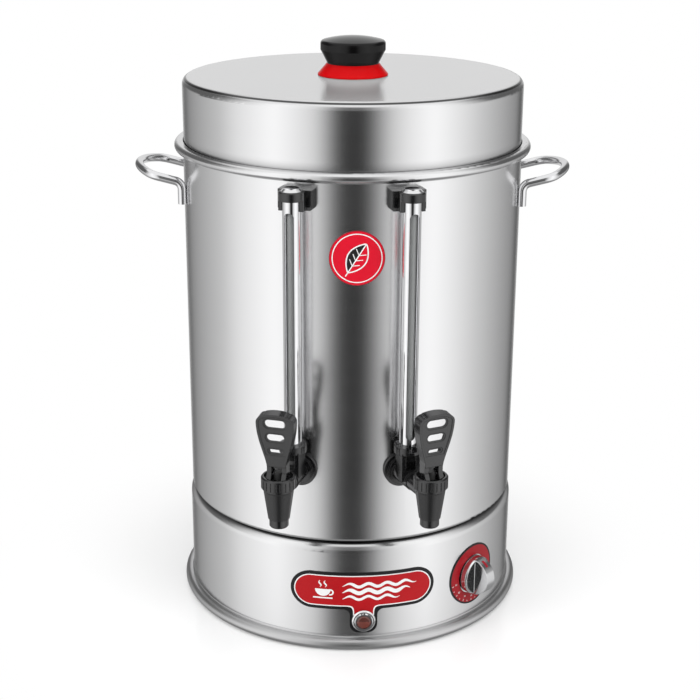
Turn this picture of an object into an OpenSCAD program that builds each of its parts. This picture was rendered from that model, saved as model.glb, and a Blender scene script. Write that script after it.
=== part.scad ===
// Tea urn: a heated base, a steel water tank with a brew vessel inside, a lift-off lid and
// two taps with sight gauges.
// Millimetres, Z up. The origin is on the tank's axis at floor level, and the front faces -Y.
// Angles are counted from the front, and are positive towards +X.

/* [Tank] */
// Outer radius of the tank wall
tank_r = 160; // [130:1:200]
// Thickness of the sheet steel
sheet = 1.2; // [0.8:0.1:1.6]
// Length of the tank wall from the base up to its lip
wall_h = 337; // [260:1:420]
// Height of the flared lip
lip_h = 10; // [7:0.5:16]
// How far the lip flares out beyond the wall
lip_out = 8.2; // [5:0.2:12]
// Radius of the rolled edge of the lip
lip_bead = 4.3; // [3.6:0.1:4.6]
// Radius of the tank's bottom corner
tank_corner = 4; // [2.5:0.5:9]

/* [Base] */
// Height of the base, up to the ledge that the tank stands on
base_h = 108; // [98:1:144]
// How far the base wall stands outside the tank wall
base_over = 1.8; // [0:0.1:6]
// Radius of the rounded shoulder under the tank
shoulder = 10; // [6:0.5:14]
// How far the foot flares out beyond the base wall
foot_out = 8.2; // [5:0.2:14]
// Radius of the foot's rolled edge
foot_roll = 5.6; // [5.4:0.1:6.4]
// Radius of the hollow between the base wall and the foot
foot_hollow = 1.6; // [1.6:0.2:4]
// Width of the ledge that carries the tank
ledge_w = 16; // [12:1:24]
// Width of the flat ring that stands on the floor
foot_ring = 12; // [9:0.5:16]
// How far the base is turned from the middle line between the taps
base_turn = 4.7; // [-8:0.1:8]
// Thickness of the bottom cover
cover_t = 1.2; // [0.8:0.1:2]

/* [Lid] */
// How far the lid's wall stands inside the tank's outer radius
lid_inset = 0.6; // [0.4:0.1:1]
// Height of the lid above the lip
lid_rise = 59; // [40:0.5:90]
// Radius of the lid's top corner
lid_corner = 7; // [3:0.5:12]
// Depth of the ring that locates the lid in the tank
lid_plug = 12; // [8:0.5:12]
// Radius of the red knob base at the lid
knob_base_r = 33; // [27:0.2:40]
// Radius of the knob's neck
knob_neck_r = 24.2; // [16:0.2:24.6]
// Height of the red knob base
knob_base_h = 11; // [8:0.5:16]
// Radius of the black knob cap
knob_cap_r = 30.5; // [25:0.2:38]
// Height of the black knob cap
knob_cap_h = 24.8; // [22:0.2:36]
// Radius of the cap's rounded rim
knob_edge = 3.4; // [2:0.1:4]
// Radius of the cap's low crown
knob_crown = 110; // [80:1:160]

/* [Handles] */
// Diameter of the handle rod
rod_d = 8; // [5:0.5:8.5]
// Half the distance between a handle's two legs
handle_half = 41; // [34:0.5:52]
// How far a handle reaches out from its legs
handle_reach = 44; // [40:0.5:60]
// Height of a handle's bends below the lip's start
handle_below = 24; // [18:0.5:60]
// Length of the straight welded leg
leg_len = 14; // [9:0.5:40]
// Slope of the handle loop in degrees
handle_slope = 14; // [0:0.5:20]
// Bend radius at the legs, on the rod's middle line
leg_bend = 8; // [6:0.5:10]
// Bend radius at the loop's outer corners, on the rod's middle line
loop_bend = 15; // [10:0.5:18]
// How deep the weld sinks the rod into the tank wall
weld = 0.3; // [0.1:0.05:0.5]

/* [Taps] */
// Angle of each tap from the front in degrees
tap_angle = 16.5; // [14:0.5:30]
// Height of the tap's shank above the base
tap_up = 72.5; // [60:0.5:110]
// Distance of the tap's upright axis from the tank wall
tap_reach = 62; // [56:0.5:80]
// How far the left tap is turned sideways in its block in degrees
left_skew = 1; // [0:0.5:10]
// How far the right tap is turned sideways in its block in degrees
right_skew = 9; // [0:0.5:10]
// Radius of the shank outside the tank
shank_r = 8; // [7.4:0.1:8.4]
// Radius of the shank's thread
thread_r = 6.4; // [6:0.1:6.8]
// Radius of the shank's bore
shank_bore = 4.4; // [3.6:0.1:4.6]
// Length of the shank inside the tank
shank_in = 22; // [19:0.5:26]
// Radius at the top of the nozzle's cone
cone_top_r = 13.4; // [12.6:0.1:13.6]
// Radius at the bottom of the nozzle's cone
cone_low_r = 9.6; // [9:0.1:10.4]
// Radius of the nozzle's tip
tip_r = 8.5; // [7.4:0.1:8.8]
// Radius of the nozzle's bore
nozzle_bore = 5.4; // [4:0.1:5.8]
// Depth of the nozzle's tip below the shank's axis
nozzle_drop = 29.5; // [26:0.5:40]
// Length of the nozzle's tip
tip_len = 8; // [5:0.5:10]
// Radius of the bonnet nut over its ribs
bonnet_r = 15.4; // [15.2:0.1:17]
// Height of the bonnet nut
bonnet_h = 10.6; // [10:0.2:18]
// Number of grooves round the bonnet nut
bonnet_ribs = 22; // [12:1:28]
// Radius of the tap's stem
stem_r = 3; // [2.4:0.1:3.4]
// Radius of the lever's pin
pin_r = 1.5; // [1:0.1:1.6]

/* [Levers] */
// Height of a lever above its pin
lever_h = 59.6; // [54:0.2:80]
// Half width of a lever near its top
lever_half = 17; // [15.5:0.1:22]
// Half width of a lever at its fork
fork_half = 8.9; // [8.4:0.1:9.4]
// Half width of the gap in the fork
fork_gap = 4.7; // [4.5:0.1:5]
// Thickness of a lever's paddle
lever_t = 10.4; // [9:0.2:11]
// How far a lever leans outwards in degrees
lever_lean = 5; // [0:0.5:8]
// Lift of the stem for each radian that a lever turns
cam_lift = 4.5; // [3:0.1:4.8]
// Height of a lever's pin above the foot that rocks on the bonnet
cam_h = 4.5; // [4:0.1:5]
// Full turn of a lever in degrees
lever_turn = 40; // [25:1:40]

/* [Gauges] */
// Distance of a gauge's axis from the tank wall
gauge_off = 20; // [18:0.5:24]
// Radius of the guard tube
guard_r = 8; // [7.4:0.1:8.4]
// Wall of the guard tube
guard_wall = 1; // [0.6:0.1:1.2]
// Half width of the window in the guard tube
window_half = 4.4; // [3:0.1:5]
// Radius of the glass tube
glass_r = 5; // [4:0.1:5.4]
// Wall of the glass tube
glass_wall = 1.4; // [1:0.1:1.8]
// Radius of the gauge's top cap
cap_r = 11.3; // [10.8:0.1:13]
// Height of the gauge's top cap
cap_h = 8; // [7:0.5:12]
// Length of the fingers that hang from the top cap
finger_len = 9.3; // [4:0.1:12]
// How far the top cap sits below the lip's start
cap_below = 3; // [0:0.5:20]
// Half width of the bracket from the cap to the tank
bracket_half = 15.2; // [12:0.1:16]
// Radius of the flange against the tank wall
flange_r = 16; // [14:0.2:20]
// Radius of the sleeve round the shank
sleeve_r = 8.6; // [8.4:0.1:9.4]
// Radius of the lower socket for the guard tube
socket_r = 12.5; // [11.6:0.1:13]

/* [Name plate, badge and lamp] */
// Length of the name plate round the base
plate_len = 135; // [110:1:160]
// Height of the name plate
plate_h = 38; // [30:0.5:46]
// Height of the name plate's middle above the floor
plate_z = 59.5; // [54:0.5:64]
// Thickness of the name plate, the dial and the badge
plate_t = 0.6; // [0.4:0.1:1]
// Width of the name plate's tab
tab_w = 26; // [24:0.5:34]
// Radius of the fillets where the tab joins the name plate
tab_fillet = 6; // [3:0.5:8]
// Height of the pilot lamp above the floor
lamp_z = 29; // [26:0.5:31]
// Radius of the pilot lamp's outer ring
lamp_ring_r = 11; // [9.6:0.1:12]
// Radius of the pilot lamp's lens
lamp_lens_r = 6.8; // [5:0.1:7.2]
// Radius of the round badge
badge_r = 24.4; // [15:0.2:32]
// Height of the badge's middle below the lip's start
badge_below = 65; // [50:0.5:120]
// Angle of the badge from the front in degrees
badge_angle = 1.7; // [-4:0.1:4]

/* [Thermostat] */
// Angle of the dial from the name plate's middle in degrees
dial_angle = 42.3; // [39:0.1:60]
// Height of the dial's middle above the floor
dial_z = 52.5; // [50:0.5:60]
// Outer radius of the dial plate
dial_r = 30.8; // [27:0.2:32]
// Inner radius of the dial plate
dial_in = 19.5; // [19.3:0.1:22]
// Radius of the turning knob
turn_r = 18.5; // [17:0.1:19]
// How far the turning knob stands out
turn_out = 23; // [19:0.5:28]
// Thickness of the turning knob's grip
grip_t = 11; // [9:0.2:16]
// Radius of the thermostat's shaft
shaft_r = 3; // [2.5:0.1:3.5]

/* [Inside] */
// Outer radius of the brew vessel
vessel_r = 95; // [80:1:110]
// Depth of the brew vessel
vessel_h = 205; // [170:1:215]
// How far the brew vessel's rim sits below the lip's start
vessel_below = 26; // [22:1:40]
// Width of the arms that hang the brew vessel
arm_w = 24; // [16:1:32]
// Gap between the tea filter and the brew vessel
filter_gap = 5; // [3:0.5:10]
// Depth of the tea filter
filter_h = 140; // [80:1:150]
// Height of the tea filter's handle
filter_rise = 34; // [20:1:40]
// Radius of the pipe from the brew vessel to its tap
pipe_r = 8.6; // [8.2:0.1:10]
// Radius of the heating element's ring
element_ring = 105; // [80:1:115]
// Radius of the heating element's tube
element_r = 4; // [3:0.1:4.5]
// Height of the heating element above the tank's floor
element_up = 20; // [16:0.5:34]
// Height of the cable gland above the floor
gland_z = 44; // [34:1:64]
// Radius of the cable gland's bore
gland_bore = 4; // [3:0.1:5]

/* [Fits] */
// Clearance of pieces that are put together and stay so
slip = 0.1; // [0.05:0.01:0.15]
// Radial clearance of a shaft or stem that moves in its bore
run = 0.06; // [0.03:0.01:0.1]
// Gap under a piece that only rests or slides past
rest_gap = 0.15; // [0.1:0.01:0.25]

/* [Hidden] */
$fn = 72;
// Facets of the tank's and the base's walls in a preview
wall_fn = 360;

wall_top = base_h + wall_h;
lip_top = wall_top + lip_h;
bead_at = tank_r + lip_out - lip_bead;
tank_in = tank_r - sheet;
lip_in = tank_in + 1.4;
base_r = tank_r + base_over;
base_in = base_r - sheet;
foot_r = base_r + foot_out;
roll_at = foot_r - foot_roll;
hollow_at = base_r + foot_hollow;
hollow_z = foot_roll + sqrt(pow(foot_roll + foot_hollow, 2) - pow(hollow_at - roll_at, 2));
floor_in = base_h + sheet;

// Bottom cover, level with the standing ring, and the lip that it is screwed to
cover_top = cover_t;
cover_r = foot_r - foot_ring - 0.4;
dial_screw_at = 12;
dial_head_r = 3.6;
lip_in_r = cover_r - 11;
cover_screw_r = 2;
cover_screw_at = cover_r - 5;
stud_r = 2.5;
stud_at = tank_r - shoulder - ledge_w / 2;

// Lid
lid_r = tank_r - lid_inset;
lid_top = lip_top + lid_rise;
lid_low = wall_top + 2.6;
plug_r = tank_in - 1;
knob_screw_r = 3;

// Tap heights
tap_z = base_h + tap_up;
tap_y = tank_r + tap_reach;
seat_z = tap_z - 6.5;
cone_high = tap_z + 5;
bonnet_low = tap_z + 8.1;
bonnet_top = bonnet_low + bonnet_h;
recess = 4;
bonnet_floor = bonnet_top - recess;
disc_low = bonnet_floor - 4;
rim_high = disc_low - 0.5;
guide_low = disc_low - 4;
rim_r = bonnet_r - 3.1;
chamber_r = 9;
pin_z = bonnet_floor + rest_gap + cam_h;
head_r = fork_gap - 0.45;
cup_h = 4.2;
bridge_z = 9.6;
cup_r = 7.4;
spring_wire = 0.45;
spring_ring = stem_r + 0.35 + spring_wire;
spring_low = seat_z + rest_gap + cup_h;
spring_turns = 5;

// Gauge heights
gauge_y = tank_r + gauge_off;
guard_low = tap_z + 26.5;
socket_top = guard_low + 5.5;
block_low = tap_z + sleeve_r + 1.4;
cap_top = wall_top - cap_below;
cap_low = cap_top - cap_h;
guard_high = cap_top - 4;
window_low = socket_top + 6;
window_high = cap_low - finger_len - 0.7;
seal_h = 3;
glass_low = guard_low - seal_h - 3;
glass_high = guard_high - 2;
sleeve_out = gauge_off + 12;
gauge_screw_z = cap_low - finger_len / 2;
gauge_screw_r = 2.2;
nut_t = 7;
gasket_t = 2;

// Brew vessel
vessel_top = wall_top - vessel_below;
vessel_low = vessel_top - vessel_h;
lug_h = 8;
arm_end = tank_in - 1;
filter_r = vessel_r - sheet - filter_gap;
pipe_bend = 16;

// Angles of pieces on the base
dial_at = base_turn + dial_angle;

// Turns a piece built at the front to an angle round the tank
module at(angle) {
    rotate([0, 0, angle]) children();
}

// Places a tap's pieces: to its side of the front, and turned sideways in its block
module tapped(side) {
    pivot = tank_r + 14;
    at(side * tap_angle) translate([0, -pivot, 0]) rotate([0, 0, side > 0 ? right_skew : left_skew])
        translate([0, pivot, 0]) children();
}

// Puts a piece on the front so that its own Z points outwards and its own Y points up
module outward(radius, height) {
    translate([0, -radius, height]) rotate([90, 0, 0]) children();
}

// Half profile of a pot with a round lower corner
module pot_profile(radius, low, high, corner) {
    translate([0, low]) square([radius - corner, high - low]);
    translate([0, low + corner]) square([radius, high - low - corner]);
    translate([radius - corner, low + corner]) circle(corner);
}

// Half profile of a pot turned upside down
module cap_profile(radius, low, high, corner) {
    translate([0, low]) square([radius - corner, high - low]);
    translate([0, low]) square([radius, high - low - corner]);
    translate([radius - corner, high - corner]) circle(corner);
}

// A six-sided nut with its bore
module nut(radius, bore, height) {
    difference() {
        cylinder(r = radius, h = height, $fn = 6);
        translate([0, 0, -1]) cylinder(r = bore, h = height + 2);
    }
}

// A ring with a bore
module ring(outer, inner, height) {
    difference() {
        cylinder(r = outer, h = height);
        translate([0, 0, -1]) cylinder(r = inner, h = height + 2);
    }
}

// A slot with round ends, half a width and half a height, cut along its own Z
module stadium(half_w, half_h, height) {
    translate([-(half_w - half_h), -half_h, 0]) cube([2 * (half_w - half_h), 2 * half_h, height]);
    for (side = [-1, 1]) {
        translate([side * (half_w - half_h), 0, 0]) cylinder(r = half_h, h = height);
    }
}

// Half profile of the base's outside: the wall with its shoulder, a hollow and the rolled foot
module base_outside() {
    share = foot_roll / (foot_roll + foot_hollow);
    meet = [roll_at + share * (hollow_at - roll_at), foot_roll + share * (hollow_z - foot_roll)];
    cap_profile(base_r, foot_roll, base_h, shoulder);
    square([roll_at, 2 * foot_roll]);
    translate([roll_at, foot_roll]) circle(foot_roll);
    difference() {
        polygon([[0, foot_roll], [meet[0], foot_roll], meet, [base_r, hollow_z], [0, hollow_z]]);
        translate([hollow_at, hollow_z]) circle(foot_hollow);
    }
}

module base_shell() {
    color([0.78, 0.79, 0.8]) difference() {
        union() {
            rotate_extrude($fn = wall_fn) difference() {
                base_outside();
                cap_profile(base_in, foot_roll, base_h - sheet, shoulder - sheet);
                translate([0, sheet]) square([roll_at, 2 * (foot_roll - sheet)]);
                translate([roll_at, foot_roll]) circle(foot_roll - sheet);
                translate([0, -1]) square([foot_r - foot_ring, sheet + 2]);
                translate([0, base_h - sheet - 1]) square([tank_r - shoulder - ledge_w, sheet + 2]);
            }
            ring(foot_r - foot_ring + sheet, foot_r - foot_ring, cover_top + sheet);
            translate([0, 0, cover_top]) ring(foot_r - foot_ring + sheet, lip_in_r, sheet);
        }
        for (turn = [45 : 90 : 315]) {
            at(turn) translate([0, -cover_screw_at, cover_top - 1])
                cylinder(r = cover_screw_r + slip, h = sheet + 2);
            at(turn) translate([0, -stud_at, base_h - sheet - 1])
                cylinder(r = stud_r + slip, h = sheet + 2);
        }
        at(base_turn) outward(base_in - 4, lamp_z) cylinder(r = lamp_lens_r + slip, h = sheet + 8);
        at(dial_at) outward(base_in - 4, dial_z) cylinder(r = shaft_r + 1, h = sheet + 8);
        for (side = [-1, 1]) {
            at(dial_at) outward(base_in - 4, dial_z + side * dial_screw_at)
                cylinder(r = 2 + slip, h = sheet + 8);
        }
        at(180 + base_turn) outward(base_in - 4, gland_z)
            cylinder(r = gland_bore + 4 + slip, h = sheet + 8);
    }
}

module base_cover() {
    color([0.6, 0.61, 0.62]) difference() {
        cylinder(r = cover_r, h = cover_t, $fn = wall_fn);
        for (turn = [45 : 90 : 315]) {
            at(turn) translate([0, -cover_screw_at, 0]) screw_head(slip);
            at(turn) translate([0, -cover_screw_at, -1]) cylinder(r = cover_screw_r + slip, h = cover_t + 2);
        }
    }
}

// Sunk head of a cover screw, made larger all round by a clearance
module screw_head(gap) {
    top = cover_screw_r + gap;
    cylinder(r1 = top + cover_t, r2 = top, h = cover_t);
}

module cover_screws() {
    color([0.7, 0.7, 0.72]) for (turn = [45 : 90 : 315]) {
        at(turn) translate([0, -cover_screw_at, 0]) {
            screw_head(0);
            translate([0, 0, cover_t / 2]) cylinder(r = cover_screw_r, h = cover_t / 2 + sheet + 4);
        }
    }
}

// Outline of the name plate, flat, round its own middle
module plate_outline() {
    end_r = plate_h / 2;
    tab_low = plate_z - max(lamp_z - tab_w / 2, hollow_z + slip);
    square([plate_len - plate_h, plate_h], center = true);
    for (side = [-1, 1]) {
        translate([side * (plate_len / 2 - end_r), 0]) circle(end_r);
    }
    translate([-tab_w / 2, -tab_low + 9]) square([tab_w, tab_low - 9]);
    translate([-tab_w / 2 + 9, -tab_low]) square([tab_w - 18, tab_low]);
    for (side = [-1, 1]) {
        translate([side * (tab_w / 2 - 9), -tab_low + 9]) circle(9);
        difference() {
            translate([side * (tab_w / 2 + tab_fillet / 2), -end_r - tab_fillet / 2 + 0.5])
                square([tab_fillet, tab_fillet + 1], center = true);
            translate([side * (tab_w / 2 + tab_fillet), -end_r - tab_fillet]) circle(tab_fillet);
        }
    }
}

module name_plate() {
    color([0.75, 0.05, 0.08]) at(base_turn) difference() {
        intersection() {
            outward(0, plate_z) linear_extrude(foot_r + 20) plate_outline();
            ring(base_r + plate_t, base_r, base_h, $fn = wall_fn);
        }
        outward(base_in, lamp_z) cylinder(r = lamp_lens_r + slip, h = 20);
    }
}

module lamp_ring() {
    color([0.85, 0.85, 0.86]) at(base_turn) difference() {
        outward(base_r - 2, lamp_z) union() {
            cylinder(r = lamp_ring_r, h = 2 + plate_t + 1.6);
            translate([0, 0, 2 + plate_t + 1.6])
                cylinder(r1 = lamp_ring_r, r2 = lamp_ring_r - 1.2, h = 1.2);
            translate([0, 0, 2 + plate_t + 2.8])
                cylinder(r1 = lamp_lens_r + 2, r2 = lamp_lens_r + 1.2, h = 1.4);
        }
        cylinder(r = base_r + plate_t, h = base_h, $fn = wall_fn);
        outward(base_in, lamp_z) cylinder(r = lamp_lens_r + slip, h = 20);
    }
}

module lamp_lens() {
    color([0.35, 0.05, 0.03]) at(base_turn) outward(base_r - 1, lamp_z) union() {
        cylinder(r = lamp_lens_r, h = 1 + plate_t + 3.6);
        translate([0, 0, 1 + plate_t + 3.6])
            cylinder(r1 = lamp_lens_r, r2 = lamp_lens_r - 1.5, h = 1.4);
    }
}

module lamp_body() {
    color([0.15, 0.15, 0.15]) at(base_turn) outward(base_r - 31, lamp_z) union() {
        cylinder(r = lamp_lens_r, h = 30);
        for (side = [-1, 1]) {
            translate([side * 3 - 0.4, -2.4, -9]) cube([0.8, 4.8, 10]);
        }
    }
}

module lamp_nut() {
    color([0.2, 0.2, 0.2]) at(base_turn) intersection() {
        outward(base_in - 5, lamp_z) nut(lamp_lens_r + 4, lamp_lens_r + slip, 6);
        cylinder(r = base_in, h = base_h, $fn = wall_fn);
    }
}

module dial_plate() {
    color([0.75, 0.08, 0.1]) at(dial_at) intersection() {
        outward(0, dial_z) difference() {
            cylinder(r = dial_r, h = foot_r + 20);
            translate([0, 0, -1]) cylinder(r = dial_in, h = foot_r + 30);
        }
        ring(base_r + plate_t, base_r, base_h, $fn = wall_fn);
    }
}

module thermostat_knob() {
    low = 1;
    disc = 6.2;
    bore_top = 12.8;
    head_room = 2.6;
    arch_r = turn_r - 0.3;
    color([0.8, 0.8, 0.82]) at(dial_at) outward(base_r, dial_z) difference() {
        union() {
            translate([0, 0, low]) cylinder(r = turn_r, h = disc - 1.2);
            translate([0, 0, low + disc - 1.2]) cylinder(r1 = turn_r, r2 = turn_r - 1.2, h = 1.2);
            translate([grip_t / 2, 0, 0]) rotate([0, -90, 0]) linear_extrude(grip_t) intersection() {
                translate([turn_out - arch_r, 0]) circle(arch_r);
                translate([low + 1, -turn_r]) square([turn_out, 2 * turn_r]);
            }
        }
        translate([0, 0, low - 1]) cylinder(r = shaft_r + slip, h = bore_top - low + 1);
        translate([0, 0, low - 1])
            ring(dial_screw_at + dial_head_r + 0.6, dial_screw_at - dial_head_r - 0.6, head_room - low + 1);
    }
}

module thermostat_shaft() {
    color([0.7, 0.7, 0.72]) at(dial_at) outward(base_r - 20, dial_z) cylinder(r = shaft_r, h = 31.5);
}

module thermostat_body() {
    color([0.85, 0.83, 0.78]) at(dial_at) outward(base_in - 25, dial_z) difference() {
        union() {
            translate([-15, -17, 0]) cube([30, 34, 23]);
            translate([-9, -13, -8]) cube([4, 6, 9]);
            translate([5, -13, -8]) cube([4, 6, 9]);
        }
        translate([0, 0, 4]) cylinder(r = shaft_r + run, h = 22);
        for (side = [-1, 1]) {
            translate([0, side * dial_screw_at, 12]) cylinder(r = 2 + slip, h = 14);
        }
    }
}

module thermostat_screws() {
    color([0.7, 0.7, 0.72]) for (side = [-1, 1]) {
        at(dial_at) difference() {
            outward(base_in - 11, dial_z + side * dial_screw_at) union() {
                cylinder(r = 2, h = 11 + sheet + 1);
                translate([0, 0, 10 + sheet]) cylinder(r = dial_head_r, h = 2.6);
            }
            outward(base_in - 3, dial_z + side * dial_screw_at) ring(8, 2, 3 + sheet);
        }
    }
}

// The sensing bulb under the tank floor and its thin tube to the thermostat
module sensor_tube() {
    start = [0, -(base_in - 20), dial_z + 17];
    drop_z = base_h - 14;
    bulb_y = -70;
    bulb_z = base_h - 4;
    color([0.72, 0.45, 0.2]) at(dial_at) union() {
        translate(start) cylinder(r = 1.2, h = drop_z - start[2]);
        translate([0, start[1], drop_z]) sphere(1.2);
        translate([0, start[1], drop_z]) rotate([-90, 0, 0])
            cylinder(r = 1.2, h = bulb_y - start[1] - 30);
        translate([0, bulb_y - 30, drop_z]) sphere(1.2);
        translate([0, bulb_y - 30, drop_z]) cylinder(r = 1.2, h = bulb_z - drop_z);
        translate([0, bulb_y - 32, bulb_z]) rotate([-90, 0, 0]) cylinder(r = 4, h = 70);
    }
}

module heating_element() {
    gap = 14;
    up = floor_in + element_up;
    color([0.45, 0.45, 0.46]) union() {
        translate([0, 0, up]) rotate([0, 0, 90 + gap]) rotate_extrude(angle = 360 - 2 * gap)
            translate([element_ring, 0]) circle(element_r);
        for (side = [-1, 1]) {
            at(180 + side * gap) translate([0, -element_ring, 0]) {
                translate([0, 0, base_h - 14]) cylinder(r = element_r, h = up - base_h + 6);
                translate([0, 0, up - 12]) cylinder(r = element_r + 0.6, h = 12 + element_r + 1);
                translate([0, 0, floor_in + gasket_t]) cylinder(r = element_r + 4.5, h = 4);
                translate([0, 0, base_h - 26]) cylinder(r = 1.8, h = 14);
            }
        }
    }
}

module element_nuts() {
    color([0.75, 0.65, 0.3]) for (side = [-1, 1]) {
        at(180 + side * 14) translate([0, -element_ring, base_h - 6])
            nut(element_r + 4.5, element_r + slip, 6);
    }
}

module element_gaskets() {
    color([0.6, 0.2, 0.15]) for (side = [-1, 1]) {
        at(180 + side * 14) translate([0, -element_ring, floor_in])
            ring(element_r + 5, element_r + slip, gasket_t);
    }
}

module thermal_cutout() {
    color([0.2, 0.2, 0.22]) translate([0, 40, 0]) union() {
        translate([0, 0, base_h - 1.5]) cylinder(r = 12, h = 1.5);
        translate([0, 0, base_h - 12]) cylinder(r = 9, h = 11);
        for (side = [-1, 1]) {
            translate([side * 5 - 2, -0.4, base_h - 20]) cube([4, 0.8, 9]);
        }
    }
}

module terminal_block() {
    color([0.9, 0.88, 0.82]) translate([0, 80, cover_top]) difference() {
        translate([-30, -9, 0]) cube([60, 18, 16]);
        for (step = [-20 : 20 : 20]) {
            translate([step, 0, 6]) cylinder(r = 4, h = 12);
            translate([step, -10, 5]) rotate([-90, 0, 0]) cylinder(r = 2.2, h = 20);
        }
    }
}

module cable_gland() {
    color([0.1, 0.1, 0.1]) at(180 + base_turn) difference() {
        union() {
            outward(base_in - 12, gland_z) cylinder(r = gland_bore + 4, h = 12 + sheet + 6);
            difference() {
                outward(base_in - 2, gland_z) cylinder(r = gland_bore + 8, h = sheet + 8, $fn = 6);
                cylinder(r = base_r, h = base_h, $fn = wall_fn);
            }
            outward(base_r + 5.8, gland_z) cylinder(r1 = gland_bore + 6, r2 = gland_bore + 3, h = 11);
        }
        outward(base_in - 14, gland_z) cylinder(r = gland_bore, h = 40);
    }
}

module gland_nut() {
    color([0.12, 0.12, 0.12]) at(180 + base_turn) intersection() {
        outward(base_in - 6, gland_z) nut(gland_bore + 8, gland_bore + 4 + slip, 7);
        cylinder(r = base_in, h = base_h, $fn = wall_fn);
    }
}

module tank_nuts() {
    color([0.7, 0.7, 0.72]) for (turn = [45 : 90 : 315]) {
        at(turn) translate([0, -stud_at, base_h - sheet - 4]) nut(4.6, stud_r + slip, 4);
    }
}

module tank_body() {
    color([0.8, 0.81, 0.82]) difference() {
        union() {
            rotate_extrude($fn = wall_fn) difference() {
                union() {
                    pot_profile(tank_r, base_h, wall_top, tank_corner);
                    polygon([[0, wall_top - 4], [tank_r, wall_top - 4], [tank_r, wall_top],
                             [bead_at, lip_top - lip_bead], [bead_at, lip_top], [0, lip_top]]);
                    translate([bead_at, lip_top - lip_bead]) circle(lip_bead);
                }
                pot_profile(tank_in, floor_in, wall_top, tank_corner - sheet);
                polygon([[0, wall_top - 5], [tank_in, wall_top - 5], [tank_in, wall_top + 0.3],
                         [lip_in, wall_top + 3.2], [lip_in, lip_top + 1], [0, lip_top + 1]]);
            }
            for (turn = [60 : 120 : 300]) {
                at(turn) intersection() {
                    translate([-arm_w / 2, -tank_r + 0.2, vessel_top - sheet - lug_h])
                        cube([arm_w, 11, lug_h]);
                    cylinder(r = tank_r - 0.2, h = lip_top, $fn = wall_fn);
                }
            }
            for (turn = [45 : 90 : 315]) {
                at(turn) translate([0, -stud_at, base_h - sheet - 8])
                    cylinder(r = stud_r, h = sheet + 8.5);
            }
        }
        for (side = [-1, 1]) {
            tapped(side) outward(tank_in - 4, tap_z) cylinder(r = thread_r + slip, h = sheet + 8);
            at(side * tap_angle) outward(tank_in - 4, gauge_screw_z)
                cylinder(r = gauge_screw_r + slip, h = sheet + 8);
            at(180 + side * 14) translate([0, -element_ring, base_h - 1])
                cylinder(r = element_r + slip, h = sheet + 2);
        }
    }
}

module round_badge() {
    color([0.85, 0.05, 0.1]) at(badge_angle) intersection() {
        outward(0, wall_top - badge_below) cylinder(r = badge_r, h = tank_r + 20);
        ring(tank_r + plate_t, tank_r, wall_top, $fn = wall_fn);
    }
}

// One bent rod: two welded legs, two bends, two branches and a rounded outer end. The bends are a
// hair thicker than the lengths between them, which run a little way into them.
module handle_rod() {
    rod = rod_d / 2;
    bent = rod + 0.03;
    into = 0.4;
    turn_z = wall_top - handle_below - leg_bend;
    leg_y = sqrt(pow(tank_r + rod - weld, 2) - pow(handle_half, 2));
    sweep = 90 - handle_slope;
    start_y = leg_y + leg_bend - leg_bend * sin(handle_slope);
    start_z = turn_z + leg_bend * cos(handle_slope);
    wide = 40;
    end_r = loop_bend + (handle_half - loop_bend) / sin(wide);
    end_back = (end_r - loop_bend) * cos(wide);
    over = into / end_r * 180 / PI;
    branch = (handle_reach - (start_y - leg_y)) / cos(handle_slope) - (end_r - end_back);
    for (side = [-1, 1]) {
        translate([side * handle_half, -leg_y, turn_z - leg_len])
            cylinder(r = rod, h = leg_len + into);
        translate([side * handle_half, -leg_y - leg_bend, turn_z]) rotate([90, 0, 90])
            rotate_extrude(angle = sweep) translate([leg_bend, 0]) circle(bent);
    }
    translate([0, -start_y, start_z]) rotate([-handle_slope, 0, 0]) {
        for (side = [-1, 1]) {
            translate([side * handle_half, into, 0]) rotate([90, 0, 0])
                cylinder(r = rod, h = branch + 2 * into);
        }
        translate([handle_half - loop_bend, -branch, 0]) rotate([0, 0, wide - 90])
            rotate_extrude(angle = 90 - wide) translate([loop_bend, 0]) circle(bent);
        translate([loop_bend - handle_half, -branch, 0]) rotate([0, 0, 180])
            rotate_extrude(angle = 90 - wide) translate([loop_bend, 0]) circle(bent);
        translate([0, -branch + end_back, 0]) rotate([0, 0, -90 - wide - over])
            rotate_extrude(angle = 2 * (wide + over)) translate([end_r, 0]) circle(rod);
    }
}

module left_handle() {
    color([0.85, 0.85, 0.86]) at(-90) handle_rod();
}

module right_handle() {
    color([0.85, 0.85, 0.86]) at(90) handle_rod();
}

module brew_vessel() {
    color([0.8, 0.81, 0.82]) difference() {
        union() {
            rotate_extrude($fn = wall_fn) pot_profile(vessel_r, vessel_low, vessel_top, 6);
            for (turn = [60 : 120 : 300]) {
                at(turn) intersection() {
                    translate([-arm_w / 2, -arm_end - 5, vessel_top - sheet])
                        cube([arm_w, arm_end, sheet]);
                    cylinder(r = arm_end, h = lip_top, $fn = wall_fn);
                }
            }
        }
        rotate_extrude($fn = wall_fn)
            pot_profile(vessel_r - sheet, vessel_low + sheet, vessel_top + 1, 6 - sheet);
        tapped(1) translate([0, 0, vessel_low - 1]) cylinder(r = pipe_r - sheet, h = sheet + 2);
    }
}

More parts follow.
